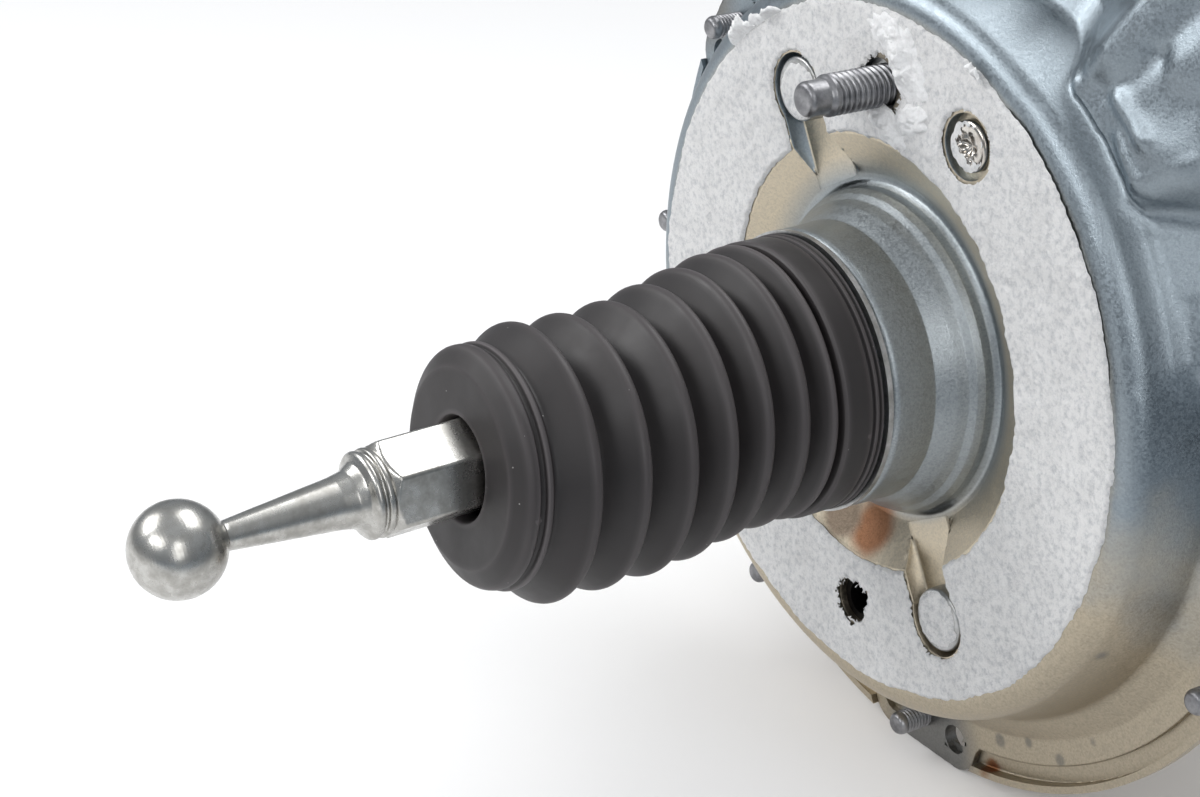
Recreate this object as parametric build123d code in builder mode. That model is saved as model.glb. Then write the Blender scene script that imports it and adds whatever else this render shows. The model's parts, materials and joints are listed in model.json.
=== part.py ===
from build123d import *
import os
from math import cos, radians, sin

# Vacuum brake booster with a ball-ended push rod, as an assembly of separate pieces.
# +Y runs along the booster's axis from the pedal side to the master cylinder, +Z is up.
# The origin is the middle of the mounting gasket's outer face. All sizes are millimetres.
# Outlines of turned pieces are given as (radius, station along Y).

os.makedirs("parts", exist_ok=True)

# Fits
running_gap = 0.05              # radial gap of a sliding fit
loose_gap = 0.3                 # gap of a piece that only has to go in
soft_gap = 0.3                  # gap round rubber and felt next to a moving piece
slot_gap = 0.1                  # gap of a key or a bead in its groove
edge_break = 0.5                # chamfer of heads and flanges
cutter_margin = 1.0             # cutters reach this far past the sheet they cut

# Pressed shells
sheet = 1.5                     # wall of both shells
gasket_thickness = 0.8
plateau_radius = 73.0           # flat mounting face up to its rounded shoulder
plateau_draft = 4.5             # the side wall widens by this much down to the flange
flange_station = 21.0           # rear face of the rear flange
flange_radius = 88.5
neck_radius = 27.2
neck_end_radius = 25.4          # the end that carries the boot
neck_bead_radius = 30.5         # end of the flare at the neck's foot
neck_bead_station = 1.0
neck_foot_radius = 32.4         # where the trough starts
neck_length = 24.0              # out of the mounting face
neck_seat_length = 10.0         # length of the boot's seat on the neck
bush_depth = 6.5                # guide bush's rear end, above the mounting face
bush_length = 8.0
seal_length = 4.4
seal_groove_width = 3.2
seal_groove_depth = 2.0
seal_lip_thickness = 1.2
seal_lip_setback = 0.4
seal_lip_land = 0.8
washer_thickness = 1.0
washer_play = 0.8
trough_depth = 5.5              # pressed ring round the foot of the neck
trough_floor_width = 2.6
trough_outer_radius = 43.5
neck_flare_length = 4.6         # the flare starts this far above the mounting face
wall_ease = 3.2                 # length of the slope between the side wall and the flange
shoulder_radius = 4.0
shell_length = 74.0             # from the clamped flanges to the front wall's inner face
chamber_radius = 77.5           # inside of the front shell
support_thickness = 2.0         # plate inside the front wall
support_hole_margin = 1.3       # round the foot of the spigot's bore
support_margin = 7.0            # it stops this far short of the flat's edge
front_flat_radius = 67.0
front_corner_height = 12.0
front_corner_rounding = 12.0    # between the flat and the conical corner
front_wall_rounding = 10.0      # between the conical corner and the side wall
spigot_radius = 22.0            # bore that takes the master cylinder's spigot
spigot_length = 10.0

# Rim of the shells
lip_height = 2.5                # turned-up edge of the front flange
lip_gap = 3.8                   # between the rear flange's edge and the lip
rim_screw_angles = (2, 74, 110, 181.5, 235, 333)
rim_screw_circle_radius = 91.0
rim_lobe_radius = 6.0
ear_angles = (148.0, 270.0)
ear_hole_circle_radius = 88.8
ear_hole_spread_angle = 13.1          # degrees between the two holes of an ear
ear_hole_radius = 3.2
ear_lobe_radius = 6.9
ear_screw_circle_radius = 87.3
rim_screw_radius = 2.5
rim_screw_head_radius = 4.4
rim_screw_head_height = 3.4
rim_screw_rounding = 1.1
rim_screw_stand_out = 8.0       # threaded end beyond the rear flange

# Pressed bulge of the rear shell
bulge_angle = 47.0
bulge_circle_radius = 88.0
bulge_radius = 16.0
bulge_station = 8.0             # its flat top
bulge_margin = 7.0              # flange left round it
bulge_draft_angle = 14.0
bulge_root = 20.0               # its straight part, back into the side wall
bulge_foot_spread = 3.0         # its foot is this much wider than its top

# Mounting face
fixing_circle_radius = 54.0            # radius of the stud and of the threaded insert
stud_radius = 4.0
stud_stand_out = 17.0
stud_nose_radius = 3.35
stud_nose_length = 5.5
stud_nose_rounding = 1.5
thread_relief_radius = 3.4      # undercut where an 8 mm thread ends
thread_relief_length = 1.2
stud_head_radius = 8.0
stud_head_height = 2.6
insert_hole_radius = 4.9
insert_body_radius = 7.4
insert_height = 4.6
insert_bore_radius = 3.4
insert_cap_thickness = 1.0      # closes the hole towards the chamber
backing_inner_radius = 47.5
backing_outer_radius = 68.0
backing_thickness = 2.5
recess_circle_radius = 55.4
recess_angle = 62.4
recess_radius = 6.2
recess_depth = 2.0
recess_screw_head_radius = 4.8
recess_screw_head_height = 1.9
recess_screw_radius = 2.5
recess_screw_socket_depth = 1.2
recess_nut_height = 4.0
recess_nut_flats = 9.0
gasket_inner_radius = 43.6
gasket_outer_radius = 69.0
gasket_pocket_margin = 0.4      # its cutouts are this much larger than what they clear
gasket_stud_margin = 1.6
gasket_insert_margin = -0.3

# Tie rods
tie_rod_circle_radius = 53.4
tie_rod_angles = (118.5, 298.5)
tie_rod_radius = 4.0
tie_rod_head_radius = 6.05
tie_rod_head_height = 2.0
tie_rod_collar_radius = 7.0
tie_rod_collar_length = 4.0
tie_rod_thread_length = 28.0    # beyond the front wall
thread_end_chamfer = 0.8
pocket_depth = 4.0
pocket_end_radius = 7.3
pocket_width = 12.6
pocket_start_radius = 36.0
tie_rod_seal_radius = 6.6
tie_rod_seal_length = 2.0
tie_rod_seal_rounding = 0.6
guide_radius = 6.5              # bush that slides on a tie rod
guide_flange_width = 2.5
guide_flange_thickness = 1.6

# Power piston
hub_radius = 17.5
hub_bore_radius = 14.0
hub_web_thickness = 2.4         # between the plunger's bore and the reaction disc
hub_edge_chamfer = 0.8
seat_play = 1.3                 # round the plunger's flange
seat_width = 1.5
seat_height = 1.0
air_channel_radius = 2.2
air_channel_circle_radius = 19.2
key_inset = 0.75                # of the stop key's outer end, inside the hub
plate_station = 12.0
plate_thickness = 1.2
plate_rim_radius = 67.0
plate_rim_length = 17.0
plate_bevel = 3.0
diaphragm_thickness = 1.5
diaphragm_overhang = 2.0        # of its fold past the plate's rim
diaphragm_bead_radius = 80.7
diaphragm_bead_width = 5.2
diaphragm_bead_rounding = 0.8
bead_groove_depth = 3.0
fold_chamber_gap = 4.2          # centre of the rolled fold from the chamber's wall
fold_web_gap = 2.2
hub_flange_radius = 31.0
hub_flange_thickness = 3.8
boss_radius = 15.0
boss_length = 10.0
disc_radius = 10.4
disc_thickness = 3.0
retainer_ring_width = 3.0
retainer_ring_thickness = 1.1

# Control valve
plunger_radius = 6.0
plunger_nose_radius = 4.0
plunger_flange_radius = 8.2
plunger_flange_station = -5.2
plunger_flange_thickness = 1.2
plunger_cone_height = 1.4       # from the flange down to the stem
plunger_nose_length = 2.3
socket_mouth_play = 0.35        # round the rod's neck, for its swing
socket_mouth_flare_angle = 4
socket_radius = 4.05
rod_pivot_station = -0.5
poppet_bore_radius = 6.9
poppet_face_radius = 12.6
poppet_face_thickness = 2.5
poppet_tube_radius = 10.6
poppet_wall = 1.3
poppet_root_depth = 1.0
poppet_bead_thickness = 2.0
poppet_bead_station = -20.0
vacuum_gap = 0.65
poppet_retainer_length = 4.0
poppet_retainer_bore_radius = 7.6
poppet_retainer_floor = 1.2
key_thickness = 2.5
key_width = 7.0
plunger_travel = 2.0

# Push rod
rod_droop = 1.1                 # degrees that the free rod hangs below the axis
rod_ball_radius = 4.0
rod_neck_radius = 2.5
rod_neck_length = 10.0
rod_neck_cone = 1.5
rod_radius = 4.0
rod_engagement = 23.7           # end of the rod inside the ball end's bore
rod_end_gap = 1.3               # left at the bore's bottom
ball_radius = 8.5
ball_reach = 143.1              # from the inner ball to the outer ball
taper_small_radius = 2.6
taper_large_radius = 4.4
collar_radius = 8.2
collar_groove_radius = 6.9
collar_reach = 112.6            # from the inner ball to the collar's outer face
collar_width = 3.4
collar_groove_width = 1.5
collar_groove_slope = 0.3
collar_root = 1.0
collar_step = 0.2               # the second collar is this much smaller
hex_flats = 14.0
hex_length = 33.0
rod_seat_reach = 33.5
rod_seat_radius = 11.0
rod_seat_thickness = 1.0
rod_seat_collar_length = 1.2
rod_seat_collar_width = 1.2
filter_gap = 1.2                # between the spring seat and the filter
filter_thickness = 3.2
filter_setback = 0.4            # from the hub's rear edge
filter_play = 3.4               # round the rod, for its swing

# Dust boot
boot_wall = 1.4
boot_ring_length = 9.4
boot_nose_radius = 21.5
boot_nose_length = 7.7
boot_nose_hole_radius = 8.6
boot_crest_radius = 26.5
boot_crest_taper = 0.3          # each crest is this much smaller than the one before
boot_root_depth = 4.8
boot_folds = 7
boot_first_pitch = 6.2
boot_pitch_growth = 0.82        # each fold is this much longer than the one before
boot_first_crest = 1.8          # from the ring to the first crest
boot_groove_depth = 1.9         # of the first groove, beside the ring
boot_flank_share = 1.35         # the wall measured square to the axis, on the sloping folds
boot_crest_rounding = 1.4
boot_root_rounding = 0.9
boot_edge_rounding = 0.6
boot_ledge_rounding = 0.5
boot_step_rounding = 0.3
boot_ring_setback = 0.4         # the wall is thicker where the ring ends
boot_last_slope = 2.6           # from the last crest to the small rim
boot_small_rim = 1.3            # rim before the nose
boot_small_rim_slope = 1.7
boot_small_rim_width = 1.0
boot_nose_taper = 0.6
boot_nose_bow = 0.5             # the nose's face stands out this much in its middle
boot_nose_rounding = 4.0
boot_clip_gap = 0.72            # between the boot's ring and the clip ring
clip_ring_width = 1.1
clip_ring_stand = 0.3           # rim of the clip ring above the boot's ring

# Springs
return_spring_radius = 27.5
return_spring_wire = 1.7
return_spring_turns = 7
wire_gap = 0.02                 # between a spring's end coils and their seats
rod_spring_radius = 9.4
rod_spring_wire = 0.6
rod_spring_turns = 5
poppet_spring_radius = 11.8
poppet_spring_wire = 0.45
poppet_spring_turns = 5

# Output rod
output_head_radius = 10.2
output_head_height = 3.0
output_rod_radius = 5.0
output_rod_length = 68.0
output_cone_height = 1.5        # from the head down to the rod
output_tip_radius = 3.4
output_tip_length = 7.0
output_tip_stem_radius = 2.5    # adjusting stem inside the rod
output_tip_stem_length = 11.5
output_tip_collar_width = 0.6
output_tip_collar_height = 2.5
output_tip_dome_width = 1.2
output_tip_dome_height = 1.0
retainer_play = 0.4             # of the retainer round the output rod
retainer_skirt_length = 5.0

# Vacuum check valve
valve_circle_radius = 48.0
valve_angle = 52.0
valve_hole_radius = 9.5
grommet_lip = 2.0
grommet_lip_thickness = 2.2
grommet_pad_depth = 0.3         # seat of the grommet, sunk in the front wall
grommet_pad_margin = 1.0
valve_bore_radius = 7.0
valve_inner_length = 4.5        # of the housing behind the front wall
valve_seat_thickness = 1.6
valve_seat_radius = 3.0
valve_chamber_radius = 5.2
valve_flange_width = 1.0
valve_flange_thickness = 2.2
valve_disc_gap = 0.02
valve_disc_thickness = 1.2
valve_disc_boss_radius = 1.6
valve_disc_play = 0.3
nozzle_radius = 4.6
nozzle_waist = 0.6              # its barrel is this much thinner
nozzle_root_width = 1.4
nozzle_barb_height = 0.5
nozzle_barb_pitch = 4.0
nozzle_tip_taper = 1.0
nozzle_bore_radius = 2.6
nozzle_length = 24.0
valve_spring_radius = 3.3
valve_spring_wire = 0.3
valve_spring_turns = 4

# Stations that follow from the sizes above
filter_front = rod_pivot_station - rod_seat_reach - rod_seat_collar_length - filter_gap
filter_rear = filter_front - filter_thickness
hub_rear_station = filter_rear - filter_setback
metal_face = gasket_thickness
inner_face = metal_face + sheet
trough_floor = metal_face + trough_depth
pocket_floor = metal_face + pocket_depth
recess_floor = metal_face + recess_depth
clamp_face = flange_station + sheet
rim_front = clamp_face + sheet
front_inner = clamp_face + shell_length
front_face = front_inner + sheet
backing_front = inner_face + backing_thickness
wall_foot_radius = plateau_radius + plateau_draft
neck_bore_radius = neck_radius - sheet
neck_end = metal_face - neck_length
neck_seat = neck_end + neck_seat_length
lip_radius = flange_radius + lip_gap
hub_front = plate_station + plate_thickness + hub_flange_thickness
boss_front = hub_front + boss_length
poppet_face = plunger_flange_station - running_gap
poppet_back = poppet_face - poppet_face_thickness
poppet_tube_end = poppet_bead_station + poppet_bead_thickness
seat_station = poppet_face + vacuum_gap
retainer_rear = poppet_bead_station - poppet_retainer_length
support_rear = front_inner - support_thickness
diaphragm_fold = plate_station + plate_rim_length + diaphragm_overhang

neck_jog = 0.8                  # half length of the step between the neck's two radii
bead_groove_radius = diaphragm_bead_radius + loose_gap
bead_middle_radius = bead_groove_radius - 2 * slot_gap - diaphragm_bead_width / 2
diaphragm_web = clamp_face + diaphragm_thickness + slot_gap
bush_rear = metal_face - bush_depth
seal_front = bush_rear - 2 * running_gap
seal_rear = seal_front - seal_length
washer_front = seal_rear - 2 * running_gap
clip_station = plate_station - diaphragm_thickness - soft_gap
output_rear = hub_front + disc_thickness
tip_start = output_rear + output_rod_length
key_station = 7.4
plunger_guide_start = 3.0
plunger_cone_end = plunger_flange_station + plunger_flange_thickness + plunger_cone_height
plunger_groove_radius = 4.4
plunger_groove_start = key_station - plunger_travel - loose_gap
plunger_groove_end = key_station + key_thickness + slot_gap
plunger_guide_end = hub_front - hub_web_thickness - plunger_travel - loose_gap
groove_reach = collar_reach - collar_width
hex_reach = groove_reach - collar_width - collar_groove_width
rod_length = hex_reach - hex_length + rod_engagement
clip_ring_rear = neck_seat - neck_jog - slot_gap
boot_ring_radius = neck_end_radius + soft_gap + boot_wall
boot_rear = clip_ring_rear - clip_ring_width - boot_clip_gap
housing_rear = front_inner - valve_inner_length
housing_seat = housing_rear + valve_seat_thickness
grommet_seat = front_face - grommet_pad_depth
housing_flange = grommet_seat + grommet_lip_thickness + 2 * running_gap
nozzle_end = housing_flange + nozzle_length
valve_shoulder = housing_flange + valve_flange_thickness

# Outer and inner outline of the boot from its ring to its nose hole, stations from the ring's rear
boot_flank = boot_flank_share * boot_wall
station = -boot_ring_length
boot_outer = [(boot_ring_radius, 0.0), (boot_ring_radius, station)]
boot_inner = [
    (boot_ring_radius - boot_wall, 0.0),
    (boot_ring_radius - boot_wall, station + boot_ring_setback),
]
boot_rounding = [boot_edge_rounding]
boot_outer.append((boot_crest_radius - boot_groove_depth, station - boot_first_crest / 2))
boot_inner.append((boot_crest_radius - boot_root_depth - boot_flank, station - boot_first_crest / 2))
boot_rounding.append(boot_ledge_rounding)
station -= boot_first_crest
crest = boot_crest_radius
pitch = boot_first_pitch
for fold in range(boot_folds):
    boot_outer.append((crest, station))
    boot_inner.append((crest - boot_flank, station))
    boot_rounding.append(boot_crest_rounding if fold else boot_edge_rounding)
    if fold < boot_folds - 1:
        boot_outer.append((crest - boot_root_depth, station - pitch / 2))
        boot_inner.append((crest - boot_root_depth - boot_flank, station - pitch / 2))
        boot_rounding.append(boot_root_rounding)
        station -= pitch
        crest -= boot_crest_taper
        pitch += boot_pitch_growth
for radius, step, rounding in (
    (boot_nose_radius - boot_nose_bow, boot_last_slope, boot_edge_rounding),
    (boot_nose_radius + boot_small_rim, boot_small_rim_slope, boot_ledge_rounding),
    (boot_nose_radius, boot_small_rim_width, boot_step_rounding),
):
    station -= step
    boot_outer.append((radius, station))
    boot_inner.append((radius - boot_flank, station))
    boot_rounding.append(rounding)
station -= boot_nose_length
boot_outer.append((boot_nose_radius - boot_nose_taper, station))
boot_inner.append((boot_nose_radius - boot_nose_taper - boot_wall, station + boot_wall))
boot_rounding.append(boot_nose_rounding)
boot_outer.append((boot_nose_hole_radius, station - boot_nose_bow))
boot_inner.append((boot_nose_hole_radius, station - boot_nose_bow + boot_wall))
boot_inner_rounding = [min(rounding, boot_root_rounding) for rounding in boot_rounding]
boot_inner_rounding[0] = boot_step_rounding
boot_nose = boot_rear + station
boot_lean = (boot_nose - rod_pivot_station) / (boot_nose - boot_rear)
boot_droop = rod_droop * boot_lean


def across(station):
    """Plane square to the axis: its x is X, its y is Z, and it faces the pedal."""
    return Plane.XZ.offset(-station)


def polar(radius, angle):
    """Place on a plane square to the axis, as (X, Z)."""
    return (radius * cos(radians(angle)), radius * sin(radians(angle)))


def turned(outline, plane=Plane.XY):
    """Ring or shaft turned about the plane's y axis from (radius, station) points."""
    with BuildPart() as piece:
        with BuildSketch(plane):
            with BuildLine():
                Polyline(*outline, close=True)
            make_face()
        revolve(axis=Axis(plane.origin, plane.y_dir))
    return piece


def bulge_outline(plane, wall):
    """Outline of the pressed bulge at the flange, from the shell's wall outwards."""
    with BuildSketch(plane) as outline:
        with Locations(polar(bulge_circle_radius, bulge_angle)):
            Circle(bulge_radius + bulge_foot_spread - wall)
        root = bulge_root + 3 * wall
        with Locations(polar(bulge_circle_radius - root / 2, bulge_angle)):
            Rectangle(root, 2 * (bulge_radius + bulge_foot_spread - wall), rotation=bulge_angle)
    return outline


def save(piece, name):
    piece.part.label = name
    export_step(piece.part, f"parts/{name}.step")


# ---------------------------------------------------------------- rear shell
def lobes(plane, extra=0.0):
    """Outline of the screw lobes, the two-hole ears and the bulge's flange."""
    with BuildSketch(plane) as outline:
        for angle in rim_screw_angles:
            with Locations(polar(rim_screw_circle_radius, angle)):
                Circle(rim_lobe_radius + extra)
            with Locations(polar((rim_screw_circle_radius + chamber_radius) / 2, angle)):
                Rectangle(
                    rim_screw_circle_radius - chamber_radius,
                    2 * rim_lobe_radius + 2 * extra,
                    rotation=angle,
                )
        for angle in ear_angles:
            half_spread = ear_hole_spread_angle / 2
            with Locations([polar(ear_hole_circle_radius, angle + turn * half_spread) for turn in (-1, 1)]):
                Circle(ear_lobe_radius + extra)
            with Locations(polar(ear_hole_circle_radius * cos(radians(ear_hole_spread_angle / 2)), angle)):
                Rectangle(
                    2 * ear_lobe_radius + 2 * extra,
                    2 * ear_hole_circle_radius * sin(radians(ear_hole_spread_angle / 2)),
                    rotation=angle,
                )
        with Locations(polar(bulge_circle_radius, bulge_angle)):
            Circle(bulge_radius + bulge_margin + extra)
    return outline


def rim_plate(station, radius):
    """One shell's flange sheet with its lobes, from the chamber outwards."""
    with BuildPart() as plate:
        with BuildSketch(across(station)):
            Circle(radius)
            add(lobes(across(station)).sketch)
            Circle(bead_groove_radius + sheet, mode=Mode.SUBTRACT)
        extrude(amount=-sheet)
    return plate


def rim_holes(part_depth):
    """Cutters for the holes of the rim screws and of the ears."""
    with BuildPart() as cutters:
        with BuildSketch(across(flange_station - part_depth)):
            for angle in rim_screw_angles:
                with Locations(polar(rim_screw_circle_radius, angle)):
                    Circle(rim_screw_radius + running_gap)
            for angle in ear_angles:
                with Locations(polar(ear_screw_circle_radius, angle)):
                    Circle(rim_screw_radius + running_gap)
                for turn in (-1, 1):
                    with Locations(polar(ear_hole_circle_radius, angle + turn * ear_hole_spread_angle / 2)):
                        Circle(ear_hole_radius)
        extrude(amount=-(sheet * 2 + 2 * part_depth))
    return cutters


def pocket_outline(plane, grow=0.0):
    """Keyhole pockets of the tie-rod heads, open towards the neck."""
    with BuildSketch(plane) as outline:
        for angle in tie_rod_angles:
            with Locations(polar(tie_rod_circle_radius, angle)):
                Circle(pocket_end_radius + grow)
            with Locations(polar((pocket_start_radius + tie_rod_circle_radius) / 2, angle)):
                Rectangle(
                    tie_rod_circle_radius - pocket_start_radius,
                    pocket_width + 2 * grow,
                    rotation=angle,
                )
    return outline


with BuildPart() as rear_shell:
    # pressed sheet from the neck's end to the flange's edge
    with BuildSketch(Plane.XY):
        with BuildLine():
            FilletPolyline(
                (neck_end_radius, neck_end),
                (neck_end_radius, neck_seat - neck_jog),
                (neck_radius, neck_seat + neck_jog),
                (neck_radius, metal_face - neck_flare_length),
                (neck_bead_radius, neck_bead_station),
                (neck_foot_radius, metal_face + trough_depth / 2),
                (neck_foot_radius + sheet / 5, trough_floor),
                (neck_foot_radius + trough_floor_width, trough_floor),
                (trough_outer_radius, metal_face),
                (plateau_radius, metal_face),
                (wall_foot_radius, flange_station - wall_ease),
                (wall_foot_radius + plateau_draft, flange_station),
                (flange_radius, flange_station),
                radius=[0.6, 2.1, 3.0, 2.0, 2.0, 1.6, 0.4, 3.5, shoulder_radius, 3.0, 2.0],
            )
            offset(amount=sheet, side=Side.LEFT)
        make_face()
    revolve(axis=Axis.Y)
    add(rim_plate(flange_station, flange_radius).part)
    # bulge pressed out towards the pedal, hollow behind
    with BuildSketch(across(clamp_face)):
        add(bulge_outline(across(clamp_face), 0.0).sketch)
    extrude(amount=clamp_face - bulge_station, taper=bulge_draft_angle)
    with BuildSketch(across(clamp_face)):
        add(bulge_outline(across(clamp_face), sheet).sketch)
    extrude(
        amount=clamp_face - bulge_station - sheet,
        taper=bulge_draft_angle,
        mode=Mode.SUBTRACT,
    )
    # tubs of the keyhole pockets and of the screw recess
    with BuildSketch(across(metal_face)):
        add(pocket_outline(across(metal_face), sheet).sketch)
    extrude(amount=-(pocket_depth + sheet))
    with BuildSketch(across(metal_face)):
        with Locations(polar(recess_circle_radius, recess_angle)):
            Circle(recess_radius + sheet)
    extrude(amount=-(recess_depth + sheet))
    with BuildSketch(across(neck_end)):
        add(pocket_outline(across(neck_end), 0.0).sketch)
    extrude(amount=-(pocket_floor - neck_end), mode=Mode.SUBTRACT)
    with BuildSketch(across(metal_face)):
        with Locations(polar(recess_circle_radius, recess_angle)):
            Circle(recess_radius)
    extrude(amount=-recess_depth, mode=Mode.SUBTRACT)
    # holes of the mounting face
    with BuildSketch(across(neck_end)):
        with Locations((0, fixing_circle_radius)):
            Circle(stud_radius + running_gap)
        with Locations((0, -fixing_circle_radius)):
            Circle(insert_hole_radius)
        for angle in tie_rod_angles:
            with Locations(polar(tie_rod_circle_radius, angle)):
                Circle(tie_rod_radius + running_gap)
        with Locations(polar(recess_circle_radius, recess_angle)):
            Circle(recess_screw_radius + running_gap)
    extrude(amount=-(pocket_floor + 2 * sheet - neck_end), mode=Mode.SUBTRACT)
    add(rim_holes(cutter_margin).part, mode=Mode.SUBTRACT)
save(rear_shell, "rear_shell")


# ---------------------------------------------------------------- front shell
with BuildPart() as front_shell:
    with BuildSketch(Plane.XY):
        with BuildLine():
            FilletPolyline(
                (spigot_radius + sheet, front_face - spigot_length),
                (spigot_radius + sheet, front_inner),
                (front_flat_radius, front_inner),
                (chamber_radius, front_inner - front_corner_height),
                (chamber_radius, clamp_face + bead_groove_depth),
                (bead_groove_radius, clamp_face + bead_groove_depth),
                (bead_groove_radius, clamp_face),
                (lip_radius, clamp_face),
                (lip_radius, clamp_face - lip_height),
                radius=[1.0, front_corner_rounding, front_wall_rounding, 0.8, 0.8, 0.3, 0.3],
            )
            offset(amount=sheet, side=Side.LEFT)
        make_face()
    revolve(axis=Axis.Y)
    # the lip is left out where the rear shell's lobes cross it
    with BuildSketch(across(clamp_face - lip_height - cutter_margin)):
        add(lobes(across(clamp_face - lip_height - cutter_margin), loose_gap).sketch)
        Circle(bead_groove_radius, mode=Mode.SUBTRACT)
    extrude(amount=-(lip_height + cutter_margin), mode=Mode.SUBTRACT)
    add(rim_plate(clamp_face, lip_radius).part)
    with BuildSketch(across(front_inner - cutter_margin)):
        for angle in tie_rod_angles:
            with Locations(polar(tie_rod_circle_radius, angle)):
                Circle(tie_rod_radius + running_gap)
        with Locations(polar(valve_circle_radius, valve_angle)):
            Circle(valve_hole_radius)
    extrude(amount=-(sheet + 2 * cutter_margin), mode=Mode.SUBTRACT)
    with BuildSketch(across(front_face)):
        with Locations(polar(valve_circle_radius, valve_angle)):
            Circle(valve_hole_radius + grommet_lip + grommet_pad_margin)
    extrude(amount=grommet_pad_depth, mode=Mode.SUBTRACT)
    add(rim_holes(cutter_margin).part, mode=Mode.SUBTRACT)
save(front_shell, "front_shell")

with BuildPart() as front_support_plate:
    with BuildSketch(across(support_rear)):
        Circle(front_flat_radius - support_margin)
        Circle(spigot_radius + sheet + support_hole_margin, mode=Mode.SUBTRACT)
        with Locations(polar(valve_circle_radius, valve_angle)):
            Circle(valve_hole_radius + grommet_lip + grommet_pad_margin, mode=Mode.SUBTRACT)
        for angle in tie_rod_angles:
            with Locations(polar(tie_rod_circle_radius, angle)):
                Circle(tie_rod_radius + running_gap, mode=Mode.SUBTRACT)
    extrude(amount=-support_thickness)
save(front_support_plate, "front_support_plate")


# ---------------------------------------------------------------- mounting face
with BuildPart() as mounting_gasket:
    with BuildSketch(across(metal_face)):
        Circle(gasket_outer_radius)
        Circle(gasket_inner_radius, mode=Mode.SUBTRACT)
        add(pocket_outline(across(metal_face), gasket_pocket_margin).sketch, mode=Mode.SUBTRACT)
        with Locations((0, fixing_circle_radius)):
            Circle(stud_radius + gasket_stud_margin, mode=Mode.SUBTRACT)
        with Locations((0, -fixing_circle_radius)):
            Circle(insert_hole_radius + gasket_insert_margin, mode=Mode.SUBTRACT)
        with Locations(polar(recess_circle_radius, recess_angle)):
            Circle(recess_radius + loose_gap, mode=Mode.SUBTRACT)
    extrude(amount=gasket_thickness)
save(mounting_gasket, "mounting_gasket")

with BuildPart() as backing_plate:
    with BuildSketch(across(inner_face)):
        Circle(backing_outer_radius)
        Circle(backing_inner_radius, mode=Mode.SUBTRACT)
        for angle in tie_rod_angles:
            with Locations(polar(tie_rod_circle_radius, angle)):
                Circle(pocket_end_radius + sheet + loose_gap, mode=Mode.SUBTRACT)
            with Locations(polar(tie_rod_circle_radius - pocket_end_radius, angle)):
                Rectangle(
                    2 * pocket_end_radius,
                    pocket_width + 2 * sheet + 2 * loose_gap,
                    rotation=angle,
                    mode=Mode.SUBTRACT,
                )
        with Locations((0, fixing_circle_radius)):
            Circle(stud_radius + running_gap, mode=Mode.SUBTRACT)
        with Locations((0, -fixing_circle_radius)):
            Circle(insert_hole_radius + running_gap, mode=Mode.SUBTRACT)
        with Locations(polar(recess_circle_radius, recess_angle)):
            Circle(recess_radius + sheet + loose_gap, mode=Mode.SUBTRACT)
    extrude(amount=-backing_thickness)
save(backing_plate, "backing_plate")

with BuildPart() as mounting_stud:
    with BuildSketch(across(backing_front)):
        with Locations((0, fixing_circle_radius)):
            Circle(stud_radius)
    extrude(amount=backing_front + stud_stand_out - stud_nose_length)
    with BuildSketch(across(-(stud_stand_out - stud_nose_length))):
        with Locations((0, fixing_circle_radius)):
            Circle(stud_nose_radius)
    extrude(amount=stud_nose_length)
    fillet(mounting_stud.faces().sort_by(Axis.Y)[0].edges(), stud_nose_rounding)
    with BuildSketch(across(backing_front)):
        with Locations((0, fixing_circle_radius)):
            Circle(stud_head_radius)
    extrude(amount=-stud_head_height)
    chamfer(mounting_stud.edges().group_by(Axis.Y)[-1], edge_break)
    # undercut at the foot of the thread, half in the sheet's hole and half out of it
    with BuildSketch(across(-loose_gap)):
        with Locations((0, fixing_circle_radius)):
            Circle(stud_radius + loose_gap)
            Circle(thread_relief_radius, mode=Mode.SUBTRACT)
    extrude(amount=-thread_relief_length, mode=Mode.SUBTRACT)
save(mounting_stud, "mounting_stud")

with BuildPart() as threaded_insert:
    with BuildSketch(across(inner_face)):
        with Locations((0, -fixing_circle_radius)):
            Circle(insert_hole_radius)
    extrude(amount=-backing_thickness)
    with BuildSketch(across(backing_front)):
        with Locations((0, -fixing_circle_radius)):
            RegularPolygon(insert_body_radius, 6)
    extrude(amount=-insert_height)
    with BuildSketch(across(inner_face)):
        with Locations((0, -fixing_circle_radius)):
            Circle(insert_bore_radius)
    extrude(amount=-(backing_thickness + insert_height - insert_cap_thickness), mode=Mode.SUBTRACT)
save(threaded_insert, "threaded_insert")

with BuildPart() as recess_screw:
    with BuildSketch(across(recess_floor)):
        with Locations(polar(recess_circle_radius, recess_angle)):
            Circle(recess_screw_head_radius)
    extrude(amount=recess_screw_head_height)
    chamfer(recess_screw.faces().sort_by(Axis.Y)[0].edges(), edge_break)
    with BuildSketch(across(recess_floor)):
        with Locations(polar(recess_circle_radius, recess_angle)):
            Circle(recess_screw_radius)
    extrude(amount=-(sheet + recess_nut_height))
    with BuildSketch(across(recess_floor - recess_screw_head_height)):
        with Locations(polar(recess_circle_radius, recess_angle)):
            RegularPolygon(recess_screw_radius, 6)
    extrude(amount=-recess_screw_socket_depth, mode=Mode.SUBTRACT)
save(recess_screw, "recess_screw")

with BuildPart() as recess_nut:
    with BuildSketch(across(recess_floor + sheet)):
        with Locations(polar(recess_circle_radius, recess_angle)):
            RegularPolygon(recess_nut_flats / 2, 6, major_radius=False)
            Circle(recess_screw_radius + running_gap, mode=Mode.SUBTRACT)
    extrude(amount=-recess_nut_height)
save(recess_nut, "recess_nut")


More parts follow.
